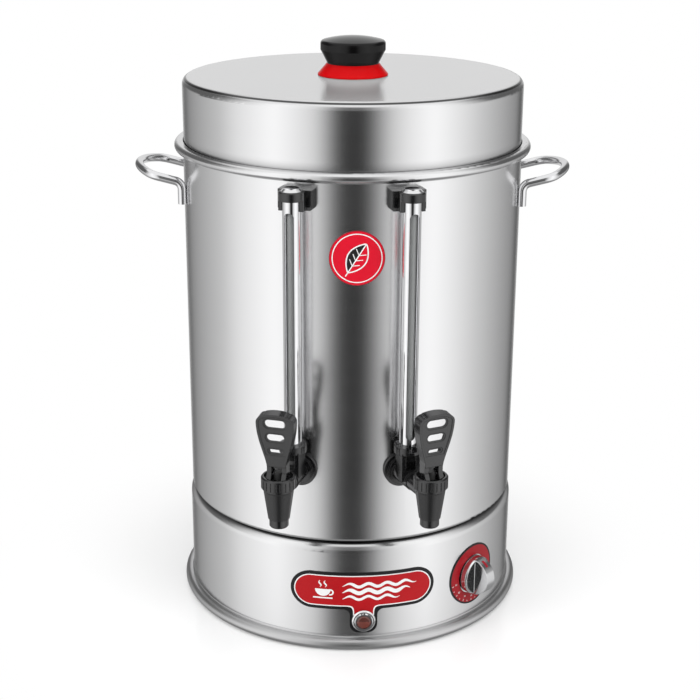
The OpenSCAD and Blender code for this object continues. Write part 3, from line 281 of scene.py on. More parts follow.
class Effects:
    """Shader node groups that several finishes share."""

    def __init__(self) -> None:
        """Builds each group once."""
        self.grain = self._grain()
        self.smudge = self._smudge()
        self.mould = self._mould()
        self.panel = self._panel()

    @staticmethod
    def _open(name: str, inputs: tuple[str, ...],
              outputs: tuple[str, ...]) -> tuple[Graph, dict, dict]:
        """Starts a group whose sockets are all plain values.

        Args:
            name: the group's name.
            inputs: names of its inputs.
            outputs: names of its outputs.

        Returns:
            The graph, the inner sockets of its inputs and those of its outputs, by name.
        """
        tree = bpy.data.node_groups.new(name, "ShaderNodeTree")
        for label in inputs:
            tree.interface.new_socket(label, in_out="INPUT", socket_type="NodeSocketFloat")
        for label in outputs:
            tree.interface.new_socket(label, in_out="OUTPUT", socket_type="NodeSocketFloat")
        graph = Graph(tree)
        start, end = graph.add("NodeGroupInput"), graph.add("NodeGroupOutput")
        return graph, {n: start.outputs[n] for n in inputs}, {n: end.inputs[n] for n in outputs}

    def _grain(self) -> bpy.types.NodeTree:
        """Brushing round the upright axis: noise stretched along the angle, fine along z plus radius.

        Returns:
            The group's tree.
        """
        graph, given, result = self._open("brushed_grain", ("Pitch", "Swirl"), ("Tone", "Height"))
        x, y, z = graph.place()
        line = graph.maths("DIVIDE", graph.maths("ADD", z, graph.length(x, y)), given["Pitch"])
        vector = graph.add("ShaderNodeCombineXYZ")
        graph.join(graph.maths("MULTIPLY", graph.heading(x, y), given["Swirl"]), vector.inputs[0])
        graph.join(line, vector.inputs[1])
        fine = graph.noise(vector.outputs[0], 1.0, 3.0)
        broad = graph.noise(vector.outputs[0], 0.16)
        graph.join(graph.mean(fine, broad, 0.55), result["Tone"])
        graph.join(fine, result["Height"])
        return graph.tree

    def _smudge(self) -> bpy.types.NodeTree:
        """Handling marks of a sheet: a noise of a hand's size.

        Returns:
            The group's tree.
        """
        graph, given, result = self._open("handled_sheet", ("Size",), ("Mask",))
        graph.join(graph.noise(graph.scaled(given["Size"]), 1.0, 4.0), result["Mask"])
        return graph.tree

    def _mould(self) -> bpy.types.NodeTree:
        """Skin of a moulded plastic piece: a fine even noise with a slow one under it.

        Returns:
            The group's tree.
        """
        graph, given, result = self._open("moulded_skin", ("Size",), ("Tone", "Height"))
        point = graph.scaled(given["Size"])
        fine = graph.noise(point, 1.0)
        slow = graph.noise(point, 0.05)
        graph.join(graph.mean(slow, fine, 0.6), result["Tone"])
        graph.join(fine, result["Height"])
        return graph.tree

    def _panel(self) -> bpy.types.NodeTree:
        """Flat coordinates of a plate on the round wall: the point turned back about z.

        Returns:
            The group's tree.
        """
        graph, given, result = self._open("panel_plane", ("Turn", "Middle"), ("Across", "Up"))
        x, y, z = graph.place()
        cos = graph.maths("COSINE", given["Turn"])
        sin = graph.maths("SINE", given["Turn"])
        across = graph.maths("MULTIPLY_ADD", x, cos, graph.maths("MULTIPLY", y, sin))
        graph.join(across, result["Across"])
        graph.join(graph.maths("SUBTRACT", z, given["Middle"]), result["Up"])
        return graph.tree

    def offsets(self, graph: Graph, turn: float, middle: float) -> tuple[bpy.types.NodeSocket, ...]:
        """Gives the offsets across and up from the middle of a plate.

        Args:
            graph: the material's graph.
            turn: the plate's turn about the upright axis in degrees.
            middle: its height.

        Returns:
            The two offsets.
        """
        panel = graph.group(self.panel, Turn=math.radians(turn), Middle=middle)
        return panel.outputs["Across"], panel.outputs["Up"]


# Finishes


class Surface:
    """A new material and its Principled BSDF."""

    def __init__(self, name: str) -> None:
        """Makes an empty material of that name.

        Args:
            name: the material's name.
        """
        self.material = bpy.data.materials.new(name)
        self.graph = cleared(self.material)
        self.shader = self.graph.add("ShaderNodeBsdfPrincipled")
        self.output = self.graph.add("ShaderNodeOutputMaterial")
        self.graph.join(self.shader.outputs[0], self.output.inputs[0])

    def set(self, **values: object) -> None:
        """Feeds the shader's sockets, named with _ for a space."""
        for name, value in values.items():
            self.graph.join(value, self.shader.inputs[name.replace("_", " ")])

    def bump(self, height: bpy.types.NodeSocket, strength: float, distance: float) -> None:
        """Feeds Normal through a Bump node, on top of what feeds it already.

        Args:
            height: the height, about 0 to 1.
            strength: the share of it that shows.
            distance: what a height of 1 stands for, in metres.
        """
        node = self.graph.add("ShaderNodeBump")
        node.inputs["Strength"].default_value = strength
        node.inputs["Distance"].default_value = distance
        self.graph.join(height, node.inputs["Height"])
        worn = self.shader.inputs["Normal"].links
        if worn:
            self.graph.join(worn[0].from_socket, node.inputs["Normal"])
        self.graph.join(node.outputs[0], self.shader.inputs["Normal"])

    def soften(self, radius: float) -> None:
        """Rounds sharp edges off in the shading, by a radius in metres.

        Args:
            radius: the edges' radius in metres.
        """
        node = self.graph.add("ShaderNodeBevel", samples=6)
        node.inputs["Radius"].default_value = radius
        self.graph.join(node.outputs[0], self.shader.inputs["Normal"])


@dataclass(frozen=True)
class Finish:
    """A material of some name; each kind of finish fills its surface in its own way."""

    name: str

    def build(self, effects: Effects) -> bpy.types.Material:
        """Makes the material.

        Args:
            effects: the shared node groups.

        Returns:
            The finished material.
        """
        surface = Surface(self.name)
        self.fill(surface, surface.graph, effects)
        return surface.material

    def fill(self, surface: Surface, graph: Graph, effects: Effects) -> None:
        """Feeds the surface's shader.

        Args:
            surface: the new material.
            graph: its node tree.
            effects: the shared node groups.
        """
        raise NotImplementedError


@dataclass(frozen=True)
class BrushedSteel(Finish):
    """Metal sheet with a fine brushing round the upright axis.

    It takes a band of painted shade at a given height, such as a seam. Below the height of a foot it is
    rougher and darker with painted shade.
    """

    shade: Colour
    roughness: float
    pitch: float = 0.9 * MM
    swirl: float = 2.5
    contrast: float = 0.05
    handling: float = 50 * MM
    uneven: float = 0.02
    relief: float = 0.01 * MM
    relief_share: float = 0.08
    painted_band_z: float | None = None
    painted_band_half: float = 2.6 * MM
    painted_band_tone: float = 0.26
    painted_band_core: float = 0.6
    painted_band_out: float = 0.0
    foot: float | None = None
    foot_soft: float = 0.8 * MM
    foot_painted_tone: float = 0.6
    foot_rough: float = 0.42

    def fill(self, surface: Surface, graph: Graph, effects: Effects) -> None:
        """Brushes the sheet, paints shade in a band at the seam, and makes it rougher and paints shade on it
        at the foot.

        Args:
            surface: the new material.
            graph: its node tree.
            effects: the shared node groups.
        """
        grain = graph.group(effects.grain, Pitch=self.pitch, Swirl=self.swirl).outputs
        smudge = graph.group(effects.smudge, Size=self.handling).outputs
        tone = graph.vary(grain["Tone"], self.shade, 1 - self.contrast, 1 + self.contrast)
        # Painted shade: a darker band about the given height, only outside a given radius.
        if self.painted_band_z is not None:
            x, y, z = graph.place()
            away = graph.maths("ABSOLUTE", graph.maths("SUBTRACT", z, self.painted_band_z))
            painted_band_share = graph.ease(away, self.painted_band_half, self.painted_band_core * self.painted_band_half)
            outside = graph.maths("GREATER_THAN", graph.length(x, y), self.painted_band_out)
            dark = tinted(self.shade, self.painted_band_tone)
            tone = graph.blend(graph.maths("MULTIPLY", painted_band_share, outside), tone, dark)
        handled = graph.spread(smudge["Mask"], self.roughness - self.uneven, self.roughness + self.uneven)
        rough = graph.maths("ADD", graph.spread(grain["Tone"], -self.uneven, self.uneven), handled)
        # Painted shade: darker below the foot's height, where the steel is also made rougher.
        if self.foot is not None:
            low = graph.ease(graph.place()[2], self.foot + self.foot_soft, self.foot - self.foot_soft)
            tone = graph.blend(low, tone, tinted(self.shade, self.foot_painted_tone))
            rough = graph.maths("ADD", rough, graph.spread(low, 0.0, self.foot_rough - self.roughness))
        surface.set(Base_Color=tone, Metallic=1.0, Roughness=rough)
        surface.bump(grain["Height"], self.relief_share, self.relief)


@dataclass(frozen=True)
class PolishedMetal(Finish):
    """Bright plated or drawn metal with faint handling marks."""

    shade: Colour
    roughness: float
    edge: float = 0.0
    handling: float = 12 * MM
    tones: tuple[float, float] = (0.94, 1.05)
    sheen: tuple[float, float] = (0.7, 1.3)

    def fill(self, surface: Surface, graph: Graph, effects: Effects) -> None:
        """Lets tone and roughness follow the marks, and rounds the edges where a radius is given.

        Args:
            surface: the new material.
            graph: its node tree.
            effects: the shared node groups.
        """
        mask = graph.group(effects.smudge, Size=self.handling).outputs["Mask"]
        low, high = self.sheen
        rough = graph.spread(mask, self.roughness * low, self.roughness * high)
        surface.set(Base_Color=graph.vary(mask, self.shade, *self.tones), Metallic=1.0, Roughness=rough)
        if self.edge:
            surface.soften(self.edge)


@dataclass(frozen=True)
class MouldedPlastic(Finish):
    """Plastic, rubber or paint, from satin to glossy, with a moulded skin.

    A painted reflection colour, where given, is what shining metal shows of it in place of its own colour.
    """

    shade: Colour
    roughness: float
    skin: float = 0.7 * MM
    relief: float = 0.02 * MM
    relief_share: float = 0.3
    variation: float = 0.12
    sheen: tuple[float, float] = (0.85, 1.15)
    gloss: float = 0.5
    edge: float = 0.0
    painted_reflection: Colour | None = None

    def fill(self, surface: Surface, graph: Graph, effects: Effects) -> None:
        """Lets tone and roughness follow the skin, then adds the edges and the skin's relief.

        Args:
            surface: the new material.
            graph: its node tree.
            effects: the shared node groups.
        """
        mould = graph.group(effects.mould, Size=self.skin).outputs
        tone = graph.vary(mould["Tone"], self.shade, 1 - self.variation, 1 + self.variation)
        low, high = self.sheen
        rough = graph.spread(mould["Tone"], self.roughness * low, self.roughness * high)
        # Painted reflection: rays from shining surfaces see this colour in place of the piece's own.
        if self.painted_reflection:
            tone = graph.blend(graph.add("ShaderNodeLightPath").outputs["Is Glossy Ray"], tone, self.painted_reflection)
        surface.set(Base_Color=tone, Roughness=rough, Specular_IOR_Level=self.gloss)
        if self.edge:
            surface.soften(self.edge)
        if self.relief:
            surface.bump(mould["Height"], self.relief_share, self.relief)


@dataclass(frozen=True)
class ClearGlass(Finish):
    """Thin drawn glass tube with faint handling marks."""

    shade: Colour
    clearness: float
    handling: float = 20 * MM
    tones: tuple[float, float] = (0.96, 1.0)
    haze: float = 0.05
    bending: float = 1.47

    def fill(self, surface: Surface, graph: Graph, effects: Effects) -> None:
        """Lets tint and haze follow the marks.

        Args:
            surface: the new material.
            graph: its node tree.
            effects: the shared node groups.
        """
        mask = graph.group(effects.smudge, Size=self.handling).outputs["Mask"]
        surface.set(Base_Color=graph.vary(mask, self.shade, *self.tones),
                    Roughness=graph.spread(mask, 0.0, self.haze),
                    Transmission_Weight=self.clearness, IOR=self.bending)


@dataclass(frozen=True)
class LampLens(Finish):
    """Dark red moulded lens with a ringed face round its own middle, with painted light on its rings,
    stronger on its lower part.
    """

    dark: Colour
    lit: Colour
    turn: float
    height: float
    ring: float = 1.1 * MM
    ring_relief: float = 0.3 * MM
    lit_below: float = 1 * MM
    lit_share: tuple[float, float] = (0.25, 0.75)
    sheen: tuple[float, float] = (0.25, 0.12)

    def fill(self, surface: Surface, graph: Graph, effects: Effects) -> None:
        """Draws the rings, a sine of the distance from the lens's middle, in relief and as painted light in
        the colour.

        Args:
            surface: the new material.
            graph: its node tree.
            effects: the shared node groups.
        """
        across, up = effects.offsets(graph, self.turn, self.height)
        turns = graph.maths("MULTIPLY", graph.length(across, up), 2 * math.pi / self.ring)
        rings = graph.spread(graph.maths("SINE", turns), 0.5, 1.0)
        # Painted light: the rings take the lit colour, more of it below the lit height.
        low = graph.maths("LESS_THAN", up, self.lit_below)
        share = graph.maths("MULTIPLY", graph.spread(low, *self.lit_share), rings)
        surface.set(Base_Color=graph.blend(share, self.dark, self.lit),
                    Roughness=graph.spread(rings, *self.sheen), Coat_Weight=1.0, Coat_Roughness=0.03)
        surface.bump(rings, 0.5, self.ring_relief)


PRINT_SKIN = 1.5 * MM
PRINT_SHEEN = (0.26, 0.36)


@dataclass(frozen=True)
class PrintedPlate(Finish):
    """Red plate with a black edge and a pale line, which follow the distance from its outline."""

    red: Colour
    black: Colour
    pale: Colour
    turn: float
    middle: float
    length: float
    height: float
    tab_width: float
    tab_low: float
    tab_corner: float = 9 * MM
    tab_joint: float = 9 * MM
    black_edge: float = 3.1 * MM
    pale_line: float = 1.0 * MM
    tones: tuple[float, float] = (0.9, 1.1)
    gloss: float = 0.2

    def _outline(self, graph: Graph, across: object, up: object) -> bpy.types.NodeSocket:
        """Gives the distance outside the plate: a bar with round ends, joined smoothly to a rounded tab.

        Args:
            graph: the material's graph.
            across: sideways offset.
            up: upward offset.

        Returns:
            The distance, negative inside.
        """
        end = self.height / 2
        side = graph.maths("ABSOLUTE", across)
        past = graph.maths("MAXIMUM", graph.maths("SUBTRACT", side, self.length / 2 - end), 0.0)
        bar = graph.maths("SUBTRACT", graph.length(past, up), end)
        wide = graph.maths("SUBTRACT", side, self.tab_width / 2 - self.tab_corner)
        drop = graph.maths("ABSOLUTE", graph.maths("ADD", up, self.tab_low / 2))
        tall = graph.maths("SUBTRACT", drop, self.tab_low / 2 - self.tab_corner)
        corner = graph.length(graph.maths("MAXIMUM", wide, 0.0), graph.maths("MAXIMUM", tall, 0.0))
        inner = graph.maths("MINIMUM", graph.maths("MAXIMUM", wide, tall), 0.0)
        tab = graph.maths("SUBTRACT", graph.maths("ADD", corner, inner), self.tab_corner)
        return graph.maths("SMOOTH_MIN", bar, tab, self.tab_joint)

    def fill(self, surface: Surface, graph: Graph, effects: Effects) -> None:
        """Prints the red face, then the pale line and the black edge over it.

        Args:
            surface: the new material.
            graph: its node tree.
            effects: the shared node groups.
        """
        skin = graph.group(effects.mould, Size=PRINT_SKIN).outputs["Tone"]
        out = self._outline(graph, *effects.offsets(graph, self.turn, self.middle))
        in_line = graph.maths("GREATER_THAN", out, -self.black_edge - self.pale_line)
        in_edge = graph.maths("GREATER_THAN", out, -self.black_edge)
        lined = graph.blend(in_line, graph.vary(skin, self.red, *self.tones), self.pale)
        surface.set(Base_Color=graph.blend(in_edge, lined, self.black),
                    Roughness=graph.spread(skin, *PRINT_SHEEN), Specular_IOR_Level=self.gloss)


@dataclass(frozen=True)
class PrintedRing(Finish):
    """Round print whose colours change with the distance from its middle."""

    face: Colour
    bands: tuple[tuple[float, Colour], ...]
    turn: float
    middle: float
    tones: tuple[float, float] = (0.92, 1.08)
    gloss: float = 0.2

    def fill(self, surface: Surface, graph: Graph, effects: Effects) -> None:
        """Prints the face; each band covers it from its radius outwards.

        Args:
            surface: the new material.
            graph: its node tree.
            effects: the shared node groups.
        """
        skin = graph.group(effects.mould, Size=PRINT_SKIN).outputs["Tone"]
        far = graph.length(*effects.offsets(graph, self.turn, self.middle))
        colour = graph.vary(skin, self.face, *self.tones)
        for radius, shade in self.bands:
            colour = graph.blend(graph.maths("GREATER_THAN", far, radius), colour, shade)
        surface.set(Base_Color=colour, Roughness=graph.spread(skin, *PRINT_SHEEN),
                    Specular_IOR_Level=self.gloss)


# Meshes


def grid_faces(rows: int, columns: int) -> np.ndarray:
    """Gives the quads of a grid of points laid out row by row.

    Args:
        rows: points along the first parameter.
        columns: points along the second.

    Returns:
        An array of four indices for each quad.
    """
    corner = (np.arange(rows - 1)[:, None] * columns + np.arange(columns - 1)[None, :]).ravel()
    return np.stack([corner, corner + columns, corner + columns + 1, corner + 1], axis=1)


def make_piece(name: str, points: np.ndarray, faces: list) -> bpy.types.Object:
    """Makes a mesh object at the origin, shaded smooth.

    Args:
        name: the object's name.
        points: its points.
        faces: indices of each face.

    Returns:
        The object, linked into the scene.
    """
    mesh = bpy.data.meshes.new(name)
    mesh.from_pydata(points.tolist(), [], faces)
    mesh.polygons.foreach_set("use_smooth", np.full(len(mesh.polygons), True))
    mesh.update()
    piece = bpy.data.objects.new(name, mesh)
    bpy.context.scene.collection.objects.link(piece)
    return piece


def set_out(across: np.ndarray, depth: np.ndarray, up: np.ndarray, turn: float) -> np.ndarray:
    """Sets points out from the upright axis.

    Args:
        across: sideways offsets.
        depth: how far outwards they lie.
        up: heights.
        turn: the direction of outwards, in degrees from the front.

    Returns:
        Points in space, one row each.
    """
    cos, sin = math.cos(math.radians(turn)), math.sin(math.radians(turn))
    return np.stack([across * cos + depth * sin, across * sin - depth * cos, up], axis=-1).reshape(-1, 3)


@dataclass(frozen=True)
class CurvedSheet:
    """A patch of a round upright wall that flat artwork is carried onto.

    A flat point goes straight outwards until it meets the wall: its depth is the square root of the
    radius squared less its sideways offset squared. The whole is then turned about the upright axis.
    """

    radius: float
    turn: float
    middle: float
    lift: float = 0.12 * MM

    def carry(self, across: np.ndarray, up: np.ndarray) -> np.ndarray:
        """Carries flat points onto the wall.

        Args:
            across: sideways offsets.
            up: upward offsets.

        Returns:
            Points in space, one row each.
        """
        across, up = np.ravel(across), np.ravel(up)
        depth = np.sqrt((self.radius + self.lift) ** 2 - across**2)
        return set_out(across, depth, self.middle + up, self.turn)


@dataclass
class Artwork:
    """Flat shapes of one ink on one sheet, gathered into one piece."""

    sheet: CurvedSheet
    points: list[np.ndarray] = field(default_factory=list)
    faces: list[list[int]] = field(default_factory=list)
    count: int = 0

    def _keep(self, points: np.ndarray, faces: list) -> None:
        """Adds points and the faces between them, counted from the points' own start.

        Args:
            points: the new points.
            faces: indices of each face among them.
        """
        self.faces.extend([[int(i) + self.count for i in face] for face in faces])
        self.points.append(points)
        self.count += len(points)

    def patch(self, across: np.ndarray, up: np.ndarray) -> None:
        """Adds a grid of flat points.

        Args:
            across: sideways offsets, as rows and columns.
            up: upward offsets, in the same layout.
        """
        self._keep(self.sheet.carry(across, up), grid_faces(*across.shape).tolist())

    def ribbon(self, across: np.ndarray, up: np.ndarray, half: np.ndarray | float) -> None:
        """Adds a line: its path moved to both sides by half its width, square to the path.

        Args:
            across: sideways offsets along the path.
            up: upward offsets along the path.
            half: half its width, along the path or for all of it.
        """
        run, rise = np.gradient(across), np.gradient(up)
        length = np.hypot(run, rise)
        side = np.linspace(-1.0, 1.0, 3)[None, :] * np.broadcast_to(half, across.shape)[:, None]
        self.patch(across[:, None] - side * (rise / length)[:, None],
                   up[:, None] + side * (run / length)[:, None])

    def disc(self, across: float, up: float, radius: float, start: float, end: float) -> None:
        """Adds a sector of a disc: arcs of growing radius round its middle.

        Args:
            across: its middle's sideways offset.
            up: its middle's upward offset.
            radius: its radius.
            start: first angle in degrees.
            end: last angle in degrees.
        """
        angle = np.radians(np.linspace(end, start, 49))[None, :]
        far = np.linspace(0.02, 1.0, 5)[:, None] * radius
        self.patch(across + far * np.cos(angle), up + far * np.sin(angle))

    def digits(self, text: str, across: float, up: float, height: float) -> None:
        """Adds a plain number, made a mesh before it is carried onto the sheet.

        Args:
            text: the number.
            across: its middle's sideways offset.
            up: its middle's upward offset.
            height: its height.
        """
        curve = bpy.data.curves.new("number", "FONT")
        curve.body, curve.size = text, height * 1.4
        curve.align_x, curve.align_y = "CENTER", "CENTER"
        holder = bpy.data.objects.new("number", curve)
        bpy.context.scene.collection.objects.link(holder)
        drawn = holder.evaluated_get(bpy.context.evaluated_depsgraph_get())
        mesh = bpy.data.meshes.new_from_object(drawn)
        flat = np.zeros(len(mesh.vertices) * 3)
        mesh.vertices.foreach_get("co", flat)
        flat = flat.reshape(-1, 3)
        faces = [list(p.vertices) for p in mesh.polygons]
        self._keep(self.sheet.carry(flat[:, 0] + across, flat[:, 1] + up), faces)
        bpy.data.objects.remove(holder)
        bpy.data.meshes.remove(mesh)
        bpy.data.curves.remove(curve)

    def finish(self, name: str, material: bpy.types.Material, body: str, slot: str) -> None:
        """Makes the piece and lets it ride on a body.

        Args:
            name: the piece's name.
            material: its ink.
            body: the CAD body that it rides on.
            slot: not used.
        """
        piece = make_piece(name, np.vstack(self.points), self.faces)
        piece.data.materials.append(material)
        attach(piece, body)
        LOG.info("%s: %d faces on %s", name, len(self.faces), body)


# The workshop


BLACK_INK = (0.012, 0.012, 0.013)


class Workshop:
    """What the sub-assemblies share: the frame's nodes, the effects and the finishes made so far."""

    def __init__(self, nodes: dict[str, bpy.types.Object]) -> None:
        """Builds the effects and the inks.

        Args:
            nodes: the frame's CAD nodes, by name.
        """
        self.nodes = nodes
        self.effects = Effects()
        self.made: dict[Finish, bpy.types.Material] = {}
        self.dressed: set[str] = set()
        inks = (MouldedPlastic(Ink.WHITE.value, (0.82, 0.82, 0.82), 0.32, relief=0.0, variation=0.04),
                MouldedPlastic(Ink.BLACK.value, BLACK_INK, 0.32, relief=0.0),
                MouldedPlastic(Ink.RED.value, (0.3, 0.015, 0.025), 0.3, relief=0.0, gloss=0.2))
        self.inks = {Ink(kind.name): self.finish(kind) for kind in inks}

    def finish(self, kind: Finish) -> bpy.types.Material:
        """Gives the material of a finish, made once.

        Args:
            kind: the finish.

        Returns:
            Its material.
        """
        if kind not in self.made:
            self.made[kind] = kind.build(self.effects)
        return self.made[kind]

    def dress(self, kind: Finish, *names: str) -> None:
        """Puts a finish on CAD nodes.

        Args:
            kind: the finish.
            names: the nodes.
        """
        material = self.finish(kind)
        for name in names:
            node = self.nodes[name]
            if not node.material_slots:
                node.data.materials.append(material)
            for slot in node.material_slots:
                slot.material = material
            self.dressed.add(name)
            LOG.info("%s: %s", name, material.name)


# Height of the tank's seam with the base, where the steels take a band of painted shade.
SEAM = 108 * MM
SHEET = (0.77, 0.77, 0.775)
STEEL = BrushedSteel("satin_steel", (0.78, 0.78, 0.785), 0.21, contrast=0.02, painted_band_z=SEAM)
CHROME = PolishedMetal("bright_chrome", (0.82, 0.82, 0.83), 0.08)
KNOB_CHROME = PolishedMetal("knob_chrome", (0.82, 0.82, 0.83), 0.1, edge=0.8 * MM)
ZINC = PolishedMetal("plated_zinc", (0.62, 0.62, 0.64), 0.3)
TAP_BLACK = MouldedPlastic("satin_black_plastic", (0.007, 0.007, 0.0075), 0.17, gloss=0.8, edge=0.7 * MM)
PLAIN_BLACK = MouldedPlastic("plain_black_plastic", (0.03, 0.03, 0.03), 0.5)
PALE = MouldedPlastic("pale_plastic", (0.72, 0.7, 0.64), 0.45)
SILICONE = MouldedPlastic("pale_silicone", (0.7, 0.7, 0.66), 0.55)
RUBBER = MouldedPlastic("black_rubber", (0.03, 0.03, 0.03), 0.7)


# Sub-assemblies


@dataclass
class Tank:
    """The drawn tank with its handles and the vessel and filter inside it."""

    steel: BrushedSteel = STEEL
    inner: BrushedSteel = BrushedSteel("inner_steel", (0.7, 0.7, 0.71), 0.34)
    rod: PolishedMetal = PolishedMetal("polished_rod", (0.8, 0.8, 0.81), 0.07)

    def dress(self, shop: Workshop) -> None:
        """Puts steel on the tank and what hangs in it.

        Args:
            shop: the frame's nodes and the finishes made so far.
        """
        shop.dress(self.steel, "tank_body")
        shop.dress(self.inner, "brew_vessel", "brew_pipe", "tea_filter")
        shop.dress(self.rod, "left_handle", "right_handle")


@dataclass
class Lid:
    """The lid's shell and its two-part knob."""

    shade: Colour = SHEET
    fold: float = 1.5 * MM
    fold_out: float = 155 * MM
    dull_and_shaded_to: float = 2 * MM
    red: MouldedPlastic = MouldedPlastic("glossy_red", (0.49, 0.0005, 0.002), 0.2, relief=0.0, variation=0.08,
                                         gloss=0.07, edge=0.5 * MM, painted_reflection=(0.38, 0.37, 0.37))
    black: MouldedPlastic = MouldedPlastic("glossy_black", (0.004, 0.0038, 0.004), 0.07, relief=0.0,
                                           gloss=0.24, painted_reflection=(0.34, 0.34, 0.34))

    def dress(self, shop: Workshop) -> None:
        """Puts steel on the shell, with a painted dark reflection line at its fold and painted shade towards
        its lower edge, and glossy plastic on the knob.

        Args:
            shop: the frame's nodes and the finishes made so far.
        """
        # The dark line at the fold is a painted reflection. Near the lip the steel is darker with painted
        # shade, and a little rougher.
        fold_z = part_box("lid_shell")[1][2] - self.fold
        lip_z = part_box("tank_body")[1][2]
        steel = BrushedSteel("lid_steel", self.shade, 0.2, contrast=0.02, painted_band_z=fold_z, painted_band_half=1.05 * MM,
                             painted_band_tone=0.12, painted_band_core=0.4, painted_band_out=self.fold_out,
                             foot=lip_z + self.dull_and_shaded_to, foot_soft=7 * MM, foot_painted_tone=0.45, foot_rough=0.24)
        shop.dress(steel, "lid_shell")
        shop.dress(self.red, "lid_knob_base")
        shop.dress(self.black, "lid_knob_cap")
        shop.dress(ZINC, "lid_knob_screw")


@dataclass
class Base:
    """The base with its foot, its cover and the electrical pieces inside it."""

    # Painted shade: a wide darker band at the seam with the tank, and darker steel at the foot.
    steel: BrushedSteel = BrushedSteel("base_steel", SHEET, 0.21, contrast=0.02, painted_band_z=SEAM,
                                       painted_band_half=3.6 * MM, painted_band_core=0.3, foot=12.5 * MM, foot_painted_tone=0.75,
                                       foot_rough=0.34)
    cover: BrushedSteel = BrushedSteel("cover_sheet", (0.55, 0.55, 0.56), 0.38)
    sheath: BrushedSteel = BrushedSteel("element_sheath", (0.36, 0.35, 0.34), 0.45, pitch=2 * MM)
    brass: PolishedMetal = PolishedMetal("plain_brass", (0.68, 0.5, 0.2), 0.3)

    def dress(self, shop: Workshop) -> None:
        """Puts a finish on each piece of the base.

        Args:
            shop: the frame's nodes and the finishes made so far.
        """
        shop.dress(self.steel, "base_shell")
        shop.dress(self.cover, "base_cover", "thermal_cutout")
        shop.dress(self.sheath, "heating_element")
        shop.dress(self.brass, "element_nuts", "sensor_tube")
        shop.dress(ZINC, "cover_screws", "thermostat_screws", "tank_nuts", "thermostat_shaft")
        shop.dress(PALE, "thermostat_body", "terminal_block", "lamp_body")
        shop.dress(PLAIN_BLACK, "cable_gland", "gland_nut", "lamp_nut")
        shop.dress(SILICONE, "element_gaskets")


@dataclass
class NamePlate:
    """The red plate on the base, with its tab, its pilot lamp and a generic print of a cup and waves."""

    wall: float = 161.8 * MM
    thick: float = 0.6 * MM
    turn: float = 4.7
    middle: float = 59.5 * MM
    length: float = 135 * MM
    height: float = 38 * MM
    tab_width: float = 26 * MM
    lamp_z: float = 29 * MM
    cup_at: float = -38 * MM
    cup_rim: float = 1.5 * MM
    cup_radius: float = 7.2 * MM
    saucer_half: float = 9 * MM
    saucer_z: float = -7.6 * MM
    line_half: float = 0.7 * MM
    steam_at: tuple[float, ...] = (-2.6 * MM, 2.2 * MM)
    steam_half: float = 0.75 * MM
    wave_start: float = -20 * MM
    wave_pitch: float = 17.5 * MM
    wave_rise: float = 1.7 * MM
    waves: tuple[tuple[float, float, float], ...] = (
        (6.2 * MM, 50 * MM, 1.5 * MM), (-0.3 * MM, 44 * MM, 2.0 * MM), (-6.9 * MM, 34 * MM, 1.3 * MM))

    def _cup(self, art: Artwork) -> None:
        """Draws half a disc with an oval handle on a saucer, under two curls of steam.

        Args:
            art: the print that takes the shapes.
        """
        art.disc(self.cup_at, self.cup_rim, self.cup_radius, 180, 360)
        turn = np.radians(np.linspace(-105, 105, 25))
        handle = self.cup_at + 6.6 * MM + 2.8 * MM * np.cos(turn)
        art.ribbon(handle, -1.6 * MM + 2.6 * MM * np.sin(turn), self.line_half)
        flat = np.linspace(-self.saucer_half, self.saucer_half, 9)
        art.ribbon(self.cup_at + flat, np.full(9, self.saucer_z), self.line_half)
        along = np.linspace(0.0, 1.0, 25)
        sway = 1.0 * MM * np.sin(along * 2 * np.pi)
        taper = np.sin(np.pi * np.clip(along, 0.12, 0.88))
        for offset in self.steam_at:
            art.ribbon(self.cup_at + offset + sway, (3.6 + 6.6 * along) * MM, self.steam_half * taper)

    def _waves(self, art: Artwork) -> None:
        """Draws sine waves that thin out at both ends, each with its height, its end and half its width.

        Args:
            art: the print that takes the shapes.
        """
        along = np.linspace(0.0, 1.0, 121)
        taper = np.minimum(1, 0.12 + 5 * (1 - along)) * np.minimum(1, 0.12 + 6 * along)
        for up, end, half in self.waves:
            across = self.wave_start + (end - self.wave_start) * along
            wave = self.wave_rise * np.sin(across * 2 * np.pi / self.wave_pitch)
            art.ribbon(across, up + wave, half * taper)

    def build(self, shop: Workshop) -> None:
        """Prints the cup and the waves beside it.

        Args:
            shop: the frame's nodes and the finishes made so far.
        """
        art = Artwork(CurvedSheet(self.wall + self.thick, self.turn, self.middle))
        self._cup(art)
        self._waves(art)
        art.finish("plate_print", shop.inks[Ink.WHITE], "urn", "red_plate")

    def dress(self, shop: Workshop) -> None:
        """Puts the printed red on the plate, chrome on the lamp's ring and dark red on its lens.

        Args:
            shop: the frame's nodes and the finishes made so far.
        """
        tab_low = self.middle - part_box("name_plate")[0][2]
        plate = PrintedPlate("printed_plate", (0.42, 0.004, 0.008), BLACK_INK, (0.8, 0.8, 0.8), self.turn,
                             self.middle, self.length, self.height, self.tab_width, tab_low)
        lens = LampLens("lamp_lens_red", (0.05, 0.01, 0.006), (0.3, 0.06, 0.04), self.turn, self.lamp_z)
        shop.dress(plate, "name_plate")
        shop.dress(CHROME, "lamp_ring")
        shop.dress(lens, "lamp_lens")


